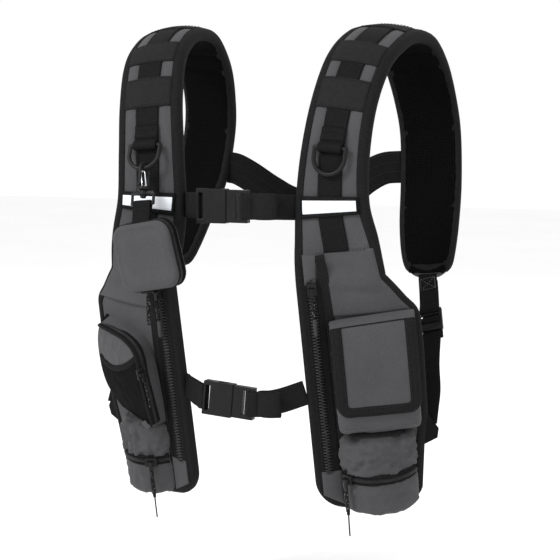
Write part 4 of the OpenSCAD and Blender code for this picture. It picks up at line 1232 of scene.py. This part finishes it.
def mesh_face(b, t):
    """Place on the mesh pouch's face: b up from 0 to 1, t outward from 0 to 1."""
    b, t = np.broadcast_arrays(np.asarray(b, float), np.asarray(t, float))
    i, o = along(MESH_IN, b * 7), along(MESH_OUT, b * 7)
    p = i + (o - i) * t[..., None]
    bulge = 4.2 * np.sin(math.pi * t) ** 0.8 * np.sin(math.pi * np.clip(b, 0, 1)) ** 0.7
    p = p + bulge[..., None] * vec(0.1, 0, 1)
    return p


def make_mesh_pouch():
    """The wearer's right pouch: net under a cloth top, with an elastic edge and a side zip."""
    n = 34
    layers = []
    for b in np.linspace(0, 1, 46):
        face = mesh_face(b, np.linspace(0, 1, n))
        fi, fo = along(FOOT_IN, b * 7), along(FOOT_OUT, b * 7)
        wall = np.linspace(0, 1, 7)[:-1, None]
        left = fi + (face[0] - fi) * wall
        right = face[-1] + (fo - face[-1]) * np.linspace(0, 1, 7)[1:, None]
        layers.append(np.vstack([left, face, right]))
    flat = np.array(layers)
    low = flat[0].copy()
    low[:, 2] = 6
    foot = np.linspace(0, 1, flat.shape[1])[:, None]
    top = (1 - foot) * vec(6, 61, 6) + foot * vec(52.5, 71, 6)
    first = [low + (flat[0] - low) * k for k in (0, 0.4, 0.8)]
    final = [flat[-1] + (top - flat[-1]) * k for k in (0.3, 0.65, 1.0)]
    flat = np.concatenate([first, flat, final])
    crumple = 0.8 * folds(flat, 30, 41) + 0.4 * noise(flat, 12, 42)
    inside = np.zeros(flat.shape[:2])
    inside[4:-4, 8:-8] = 1
    flat[..., 2] += crumple * inside
    points = panel(flat[..., 0], flat[..., 1], flat[..., 2])

    def kind(j, i):
        """Cloth (0) on the inner wall and above the elastic, and net (1) elsewhere."""
        p = flat[j, i]
        above = p[1] > 24.5 + 11.0 * ((p[0] - 26) / 52) ** 2 * 2.2
        return 0 if p[0] < -25.2 or i < 6 or (i < n + 6 and above) else 1
    thing = rows("mesh_pouch", points, [pack_cloth, pouch_net], -1, kind=kind)
    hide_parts("right_mesh_pouch")
    # Elastic edge over the line where the mesh starts
    line = []
    for t in np.linspace(0.0, 1.0, 60):
        best = min(np.linspace(0.2, 0.98, 120), key=lambda b: abs(
            mesh_face(b, t)[1] - (24.5 + 24.2 * ((mesh_face(b, t)[0] - 26) / 52) ** 2)))
        line.append(mesh_face(best, t) + vec(0, 0, 0.6))
    line = smooth(np.array(line)[::6], 60)
    path = panel(*line.T)
    sweep("mesh_pouch_elastic", path, np.cross(np.gradient(path, axis=0), PANEL_Z),
          flat_tape(6.5, 1.6, 0.4, 8), elastic, -1)
    # Zip round the top and down the inner side
    b = np.linspace(0.03, 1, 50)
    edge = np.vstack([along(MESH_IN, b * 7), mesh_face(np.full(20, 1.0), np.linspace(0.05, 1, 20))])
    edge = smooth(edge[::3], 90)
    wall = -unit(np.stack([np.gradient(edge[:, 1]), -np.gradient(edge[:, 0]), 0 * edge[:, 0]], 1))
    middle = edge + vec(0, 0, -5.5) + wall * 0.9
    path = panel(*middle.T)
    sweep("mesh_pouch_zip_tape", path, PANEL_Z, flat_tape(11, 1.6, 0.3, 8), zip_tape, -1)
    outward = panel_way(1, 0, 0) * wall[:, :1] + PANEL_Y * wall[:, 1:2]
    zip_teeth("mesh_pouch_zip_teeth", path + outward * 0.8, outward, 2.2, 1.3, 2.2, coil, -1,
              long=0.85)
    piping = edge + wall * 0.4 + vec(0, 0, 0.5)
    path = panel(*piping.T)
    sweep("mesh_pouch_piping", path, PANEL_Z, round_wire(1.6, 8), binding_tape, -1)
    tab = [(-20, -37, 28), (-17, -34, 29.5), (-14.5, -30, 30.5)]
    path = panel(*np.array(smooth(tab, 10)).T)
    sweep("mesh_pouch_corner_tab", path, PANEL_Y - PANEL_X, flat_tape(7, 1.6, 0.3), pack_cloth, -1)


# ---------- Hanging pouch ----------
def pouch_outline(inset, n=9):
    w, h, r = 36 - inset, 35 - inset, 15 - inset * 0.7
    parts = []
    for cx, cy, start in ((w - r, h - r, 0), (r - w, h - r, 90), (r - w, r - h, 180),
                          (w - r, r - h, 270)):
        a = np.radians(np.linspace(start, start + 90, n))
        parts.append(np.stack([cx + r * np.cos(a), cy + r * np.sin(a)], 1))
    ring = np.vstack(parts)
    ring = np.vstack([ring, ring[:1]])
    place = run_along(ring)
    even = np.linspace(0, place[-1], 73)[:-1]
    return np.stack([np.interp(even, place, ring[:, 0]), np.interp(even, place, ring[:, 1])], 1)


def on_pouch(x, y, z):
    x, y, z = np.broadcast_arrays(*(np.asarray(v, float) for v in (x, y, z)))
    return POUCH_AT + np.stack([x, y, z], -1) @ POUCH_TURN.T


def make_hanging_pouch():
    """The small pouch on the swivel loop: two cloth halves with a zip between them."""
    def layer(z, inset, k=1.0):
        o = pouch_outline(inset) * k
        return on_pouch(o[:, 0], o[:, 1], z)

    def closed(z, inset):
        ring = layer(z, inset)
        return np.vstack([ring, ring[:1]])
    face = [layer(0.9 * (1 - k ** 3) + 0.1, 4.2, k)
            for k in (0.03, 0.2, 0.4, 0.6, 0.75, 0.87, 0.95)]
    front = [(0.0, 3.6), (-0.6, 2.4), (-1.8, 1.3), (-3.4, 0.5), (-5.5, 0.1), (-6.2, 0.9)]
    back = [(-15.6, 0.9), (-16.0, 0.1), (-18.2, 0.5), (-19.8, 1.6), (-20.8, 3.4), (-21.2, 6)]
    rear = [layer(-21.3, 6.0, k) for k in (0.9, 0.6, 0.3, 0.03)]
    stack = np.array(face + [layer(*v) for v in front])
    stack = stack + 0.3 * folds(stack, 50, 17)[..., None] * (POUCH_TURN @ vec(0, 0, 1))
    shell = rows("hanging_pouch_front", stack[:, ::-1], pack_cloth, 1, "pouch", ring=True, caps=True)
    rows("hanging_pouch_back", np.array([layer(*v) for v in back] + rear)[:, ::-1],
         pack_cloth, 1, "pouch", ring=True, caps=True)
    rows("hanging_pouch_zip_tape", np.array([layer(*v) for v in (
        (-5.6, 1.6), (-6.0, 0.9), (-9, 0.6), (-11, 0.5), (-13, 0.6), (-15.8, 0.9),
        (-16.2, 1.6))])[:, ::-1], zip_tape, 1, "pouch", ring=True)
    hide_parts("hanging_pouch")
    path = closed(-9.0, 0.4)
    centre = on_pouch(0, 0, -9.0)
    zip_teeth("hanging_pouch_zip_teeth", path, unit(path - centre), 2.2, 1.1, 2.2, coil, 1,
              "pouch", long=0.85)
    for z in (-5.9, -16.0):
        sweep("hanging_pouch_piping", closed(z, 0.2), POUCH_TURN @ vec(0, 0, 1),
              round_wire(0.9, 8), binding_tape, 1, "pouch", caps=False)
    # Webbing stub that holds the pouch on the swivel loop
    hook = lambda x, y, z: HOOK_AT + HOOK_TURN @ vec(x, y, z)
    run = [(2.2, -60), (2.0, -50), (2.3, -43), (3.0, -38.5), (1.6, -35.4), (-1.6, -35.4),
           (-3.0, -38.5), (-2.3, -43), (-2.0, -50), (-2.2, -60)]
    path = np.array([hook(0, y, z) for y, z in smooth(run, 50)])
    sweep("pouch_hanger", path, HOOK_TURN @ vec(1, 0, 0), flat_tape(19, 1.5, 0.1, 8),
          webbing, 1, "pouch")
    line = [hook(x, -3.2, -44.5) for x in np.linspace(-8, 8, 10)]
    stitches("pouch_hanger_stitches", line, HOOK_TURN @ vec(0, -1, 0), dark_thread, 1, "pouch")


# ---------- Straps and buckles ----------
CHEST_AT, WAIST_AT = vec(-7, -174, -166), vec(-5, -164, -366)
CHEST_END = strap(2.0, -38.5, 0.0) - vec(0.5, 0, 0)
WAIST_END = panel(-55.2, 10, 0)
# Width of the front webbing, and how far each buckle half reaches from the buckle's centre
FRONT_W, FEMALE, MALE = 25, 33, 23


def mirrored(p):
    return np.asarray(p) * [-1, 1, 1]


def free_strap(name, points, width, thick, material, n=40, side_way=(0, 0, 1), bow=0.0, side=1):
    """Webbing carried along a smooth run through points."""
    return sweep(name, smooth(np.array(points, float), n), vec(*side_way),
                 flat_tape(width, thick, bow, 10), material, side)


def spiral_tail(name, x0, x1, y, depth, z):
    """The strap's spare end rolled up in an oval and held by its own grip."""
    a = (x1 - x0) / 2
    t = np.linspace(0, 2.55, 130)
    k = 1 - 0.22 * t
    angle = 2 * math.pi * t + math.pi * 0.55
    path = np.stack([(x0 + x1) / 2 + a * k * np.cos(angle), y + depth * k * np.sin(angle),
                     np.full(130, z) + 0.5 * np.sin(angle * 0.5)], 1)
    sweep(name, path, vec(0, 0, 1), flat_tape(FRONT_W, 1.5, 0.1, 10), strap_webbing)


def make_belt(word, right_run, fold_run, left_run, tail, over_run):
    """One belt's webbing: its right half and fold, its left half, the rolled tail and its end."""
    right = free_strap(f"{word}_strap_right_web", right_run, FRONT_W, 1.6, strap_webbing)
    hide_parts(f"{word}_strap_right")
    free_strap(f"{word}_strap_right_fold", fold_run, FRONT_W, 1.5, strap_webbing)
    left = free_strap(f"{word}_strap_left_web", left_run, FRONT_W, 1.6, strap_webbing)
    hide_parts(f"{word}_strap_left")
    spiral_tail(f"{word}_strap_tail", *tail)
    free_strap(f"{word}_strap_over", over_run, FRONT_W, 1.5, strap_webbing, 24)


def make_front_straps():
    x, end = CHEST_AT[0], mirrored(CHEST_END)
    make_belt(
        "chest",
        [end, (-50, -168, -166), (x - FEMALE - 0.5, -173.5, -166), (x - FEMALE + 5, -174, -166)],
        [end + vec(2, -3.5, 0), (-52, -171.5, -166), (-44, -176, -166), (-39.5, -179, -166),
         (-37.2, -177, -166), (-38, -174.5, -166)],
        [(x + 15, -174, -166), (x + MALE + 0.5, -173.5, -166), (40, -171, -166), CHEST_END],
        (24, 53, -182.5, 7.6, -165),
        [(x + 17, -179.5, -166), (18, -178.5, -166), (23, -177.5, -166), (30, -175.6, -166)])
    x, end = WAIST_AT[0], mirrored(WAIST_END)
    make_belt(
        "waist",
        [end, (-53, -156, -359), (x - FEMALE - 0.6, -163.4, -363), (x - FEMALE + 5, -164, -363.5)],
        [end + vec(4, -5, 1), (-52, -160.5, -359.5), (-45, -166, -361), (-39.5, -169, -362.6),
         (-37, -167, -363), (-38, -164.5, -363)],
        [(x + 15, -164, -367.3), (x + MALE + 0.6, -163.6, -368), (42, -158, -364.5), WAIST_END],
        (25, 52, -171.5, 7, -366),
        [(x + 17, -169.3, -367.6), (20, -168.6, -367.8), (26, -167.2, -367.6), (33, -165, -366.8)])


BACK_ROUTE = [(-102.6, 51, -138.4), (-92, 50.8, -140.5), (-75, 50.4, -149), (-50, 50, -164),
              (-25, 50, -176), (5, 50, -180), (35, 50, -168), (62, 50, -147), (82, 50.5, -136.5),
              (102.6, 51, -134.2)]


def make_back_strap():
    """The slack strap between the rear pads, sewn in four rows on each face."""
    thing = free_strap("back_strap_web", BACK_ROUTE, 34, 2.6, webbing, 90, bow=0.5)
    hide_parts("back_strap")
    path = smooth(np.array(BACK_ROUTE, float), 90)
    way = unit(np.gradient(path, axis=0))
    x = unit(vec(0, 0, 1) - way * way[:, 2:])
    z = np.cross(x, way)
    join("back_strap_stitches", [
        stitches("sewn", path + x * d + z * face * 1.7, z * face, dark_thread)
        for d in (-14.5, -5, 5, 14.5) for face in (-1, 1)])


# The left ladder lock: its place, the way it hangs and its axes
LOCK_AT = vec(160, -26, -281)
LOCK_DIR = unit(vec(0.24, -0.46, -0.86))
SIDE_DIR = unit(vec(1, 0.05, 0.25))
LOCK_X = unit(SIDE_DIR - LOCK_DIR * (SIDE_DIR @ LOCK_DIR))
LOCK_OUT = np.cross(LOCK_X, -LOCK_DIR)
SIDE_ROUTE = [LOCK_AT + 24.2 * LOCK_DIR, (171, -57, -333), (176.6, -70.8, -358), (177.6, -80, -376),
              (178.2, -87, -390)]


def make_side_webbing(side, word):
    """The webbing from the rear pad through the ladder lock to the panel's edge."""
    lock = lambda down, out: LOCK_AT + LOCK_DIR * down + LOCK_OUT * out
    # Tab from the rear pad round the lock's top bar and back up
    run = [vec(150.2, -3, -240), vec(151.4, -6.6, -248), vec(154.5, -13.5, -260),
           vec(157.4, -20.5, -272), lock(-3.2, 2.2), lock(0, 2.9), lock(2.7, 1.2),
           lock(2.7, -1.2), lock(0, -2.9), lock(-4, -2.6), vec(155, -11, -267), vec(151, -2, -254)]
    tab = sweep(f"{word}_side_tab", smooth(np.array(run), 80), SIDE_DIR,
                flat_tape(20, 1.5, 0.1, 8), webbing, side)
    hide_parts(f"{word}_side_webbing")
    box_line = []
    for a, b in (((-8, 0), (8, 0)), ((8, 0), (8, -14)), ((8, -14), (-8, -14)), ((-8, -14), (-8, 0)),
                 ((-8, 0), (8, -14)), ((8, 0), (-8, -14))):
        for t in np.linspace(0, 1, 6):
            x, y = np.array(a) + (np.array(b) - np.array(a)) * t
            box_line.append(vec(152.2, -8.4, -249.5) + SIDE_DIR * x + LOCK_DIR * (-y * 0.9)
                            + LOCK_OUT * 1.6)
    stitches(f"{word}_side_tab_stitches", box_line, LOCK_OUT, grey_thread, side, long=2.0)
    # Strap through the lock, down to the panel's edge
    low = [np.array(p, float) for p in SIDE_ROUTE]
    run = [lock(8.6, -4.5), lock(9.2, -1.2), lock(9.4, 2.6), lock(12, 3.6), lock(14, 2.4),
           lock(14.4, -1.5), lock(17, -3.4), lock(22, -2.8), lock(27, -0.5)] + low[1:]
    thing = free_strap(f"{word}_side_strap", run, 20, 1.5, webbing, 110, SIDE_DIR, side=side)
    thing_end = free_strap(f"{word}_side_strap_tail", [lock(8.6, -4.5), lock(5, -5.5), lock(3, -8),
                           lock(8, -9), lock(15, -8), lock(22, -7.4), lock(30, -7)], 20, 1.5,
                           webbing, 50, SIDE_DIR, side=side)
    flip = vec(side, 1, 1) * MM
    for piece in (thing, thing_end):
        piece.parent = None
        if "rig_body" in piece:
            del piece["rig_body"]
        tuple(np.array(low[2]) * flip)
        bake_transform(piece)
    # Triangular tab sewn into the panel's edge, with its loop
    outline = [(OUTER - 3, -61), (OUTER + 0.5, -60), (OUTER + 14.5, -54), (OUTER + 16.5, -44),
               (OUTER + 6.3, -26), (OUTER + 2, -26)]
    front = [panel(x, y, 1.6) for x, y in outline]
    back = [panel(x, y, -1.6) for x, y in outline]
    n = len(outline)
    faces = [tuple(range(n))[::-1], tuple(range(n, 2 * n))]
    faces += [(i, (i + 1) % n, n + (i + 1) % n, n + i) for i in range(n)]
    piece = build(f"{word}_side_anchor", front + back, faces, binding_tape, side, flat=True)
    edge = piece.modifiers.new("edge", "BEVEL")
    edge.width = 0.6 * MM
    edge.segments = 2


def make_hardware():
    """The hard parts, which keep their CAD shapes."""
    for word in ("left", "right"):
        hard(f"{word}_d_ring", plastic, 0, f"{word}_ring")
        hard(f"{word}_ladder_lock", plastic, 0.7, f"{word}_lock")
        for part in ("front", "lower"):
            hard(f"{word}_{part}_zip_slider", plastic, 0.5, f"{word}_{part}_slider")
            hard(f"{word}_{part}_zip_puller", plastic, 0.3, f"{word}_{part}_puller")
    hard("right_mesh_pouch_slider", plastic, 0.5, "mesh_slider")
    hard("right_mesh_pouch_puller", plastic, 0.3, "mesh_puller")
    hard("hanging_pouch_slider", plastic, 0.5, "pouch_slider")
    hard("snap_hook", plastic, 0.4, "hook")
    hard("swivel_loop", plastic, 0.5, "swivel")
    hard("snap_hook_gate", steel, 0, "gate")
    for belt in ("chest", "waist"):
        hard(f"{belt}_buckle_female", plastic, 1.8, "harness", 4)
        hard(f"{belt}_buckle_male", plastic, 1.0, "harness", 3)
        for which in ("upper", "lower"):
            hard(f"{belt}_buckle_{which}_prong", plastic, 0.6, f"{belt}_{which}_prong")


for side, word in ((1, "left"), (-1, "right")):
    make_pad(side, word)
    make_lining(side, word)
    make_binding(side, word)
    make_centre_webbing(side, word)
    make_bands(side, word)
    make_reflector(side, word)
    make_front_zip(side, word)
    make_upper_cloth(side, word)
    make_lower_pocket(side, word)
    make_side_webbing(side, word)
make_flap_pocket()
make_flap()
make_mesh_pouch()
make_hanging_pouch()
make_front_straps()
make_back_strap()
make_hardware()
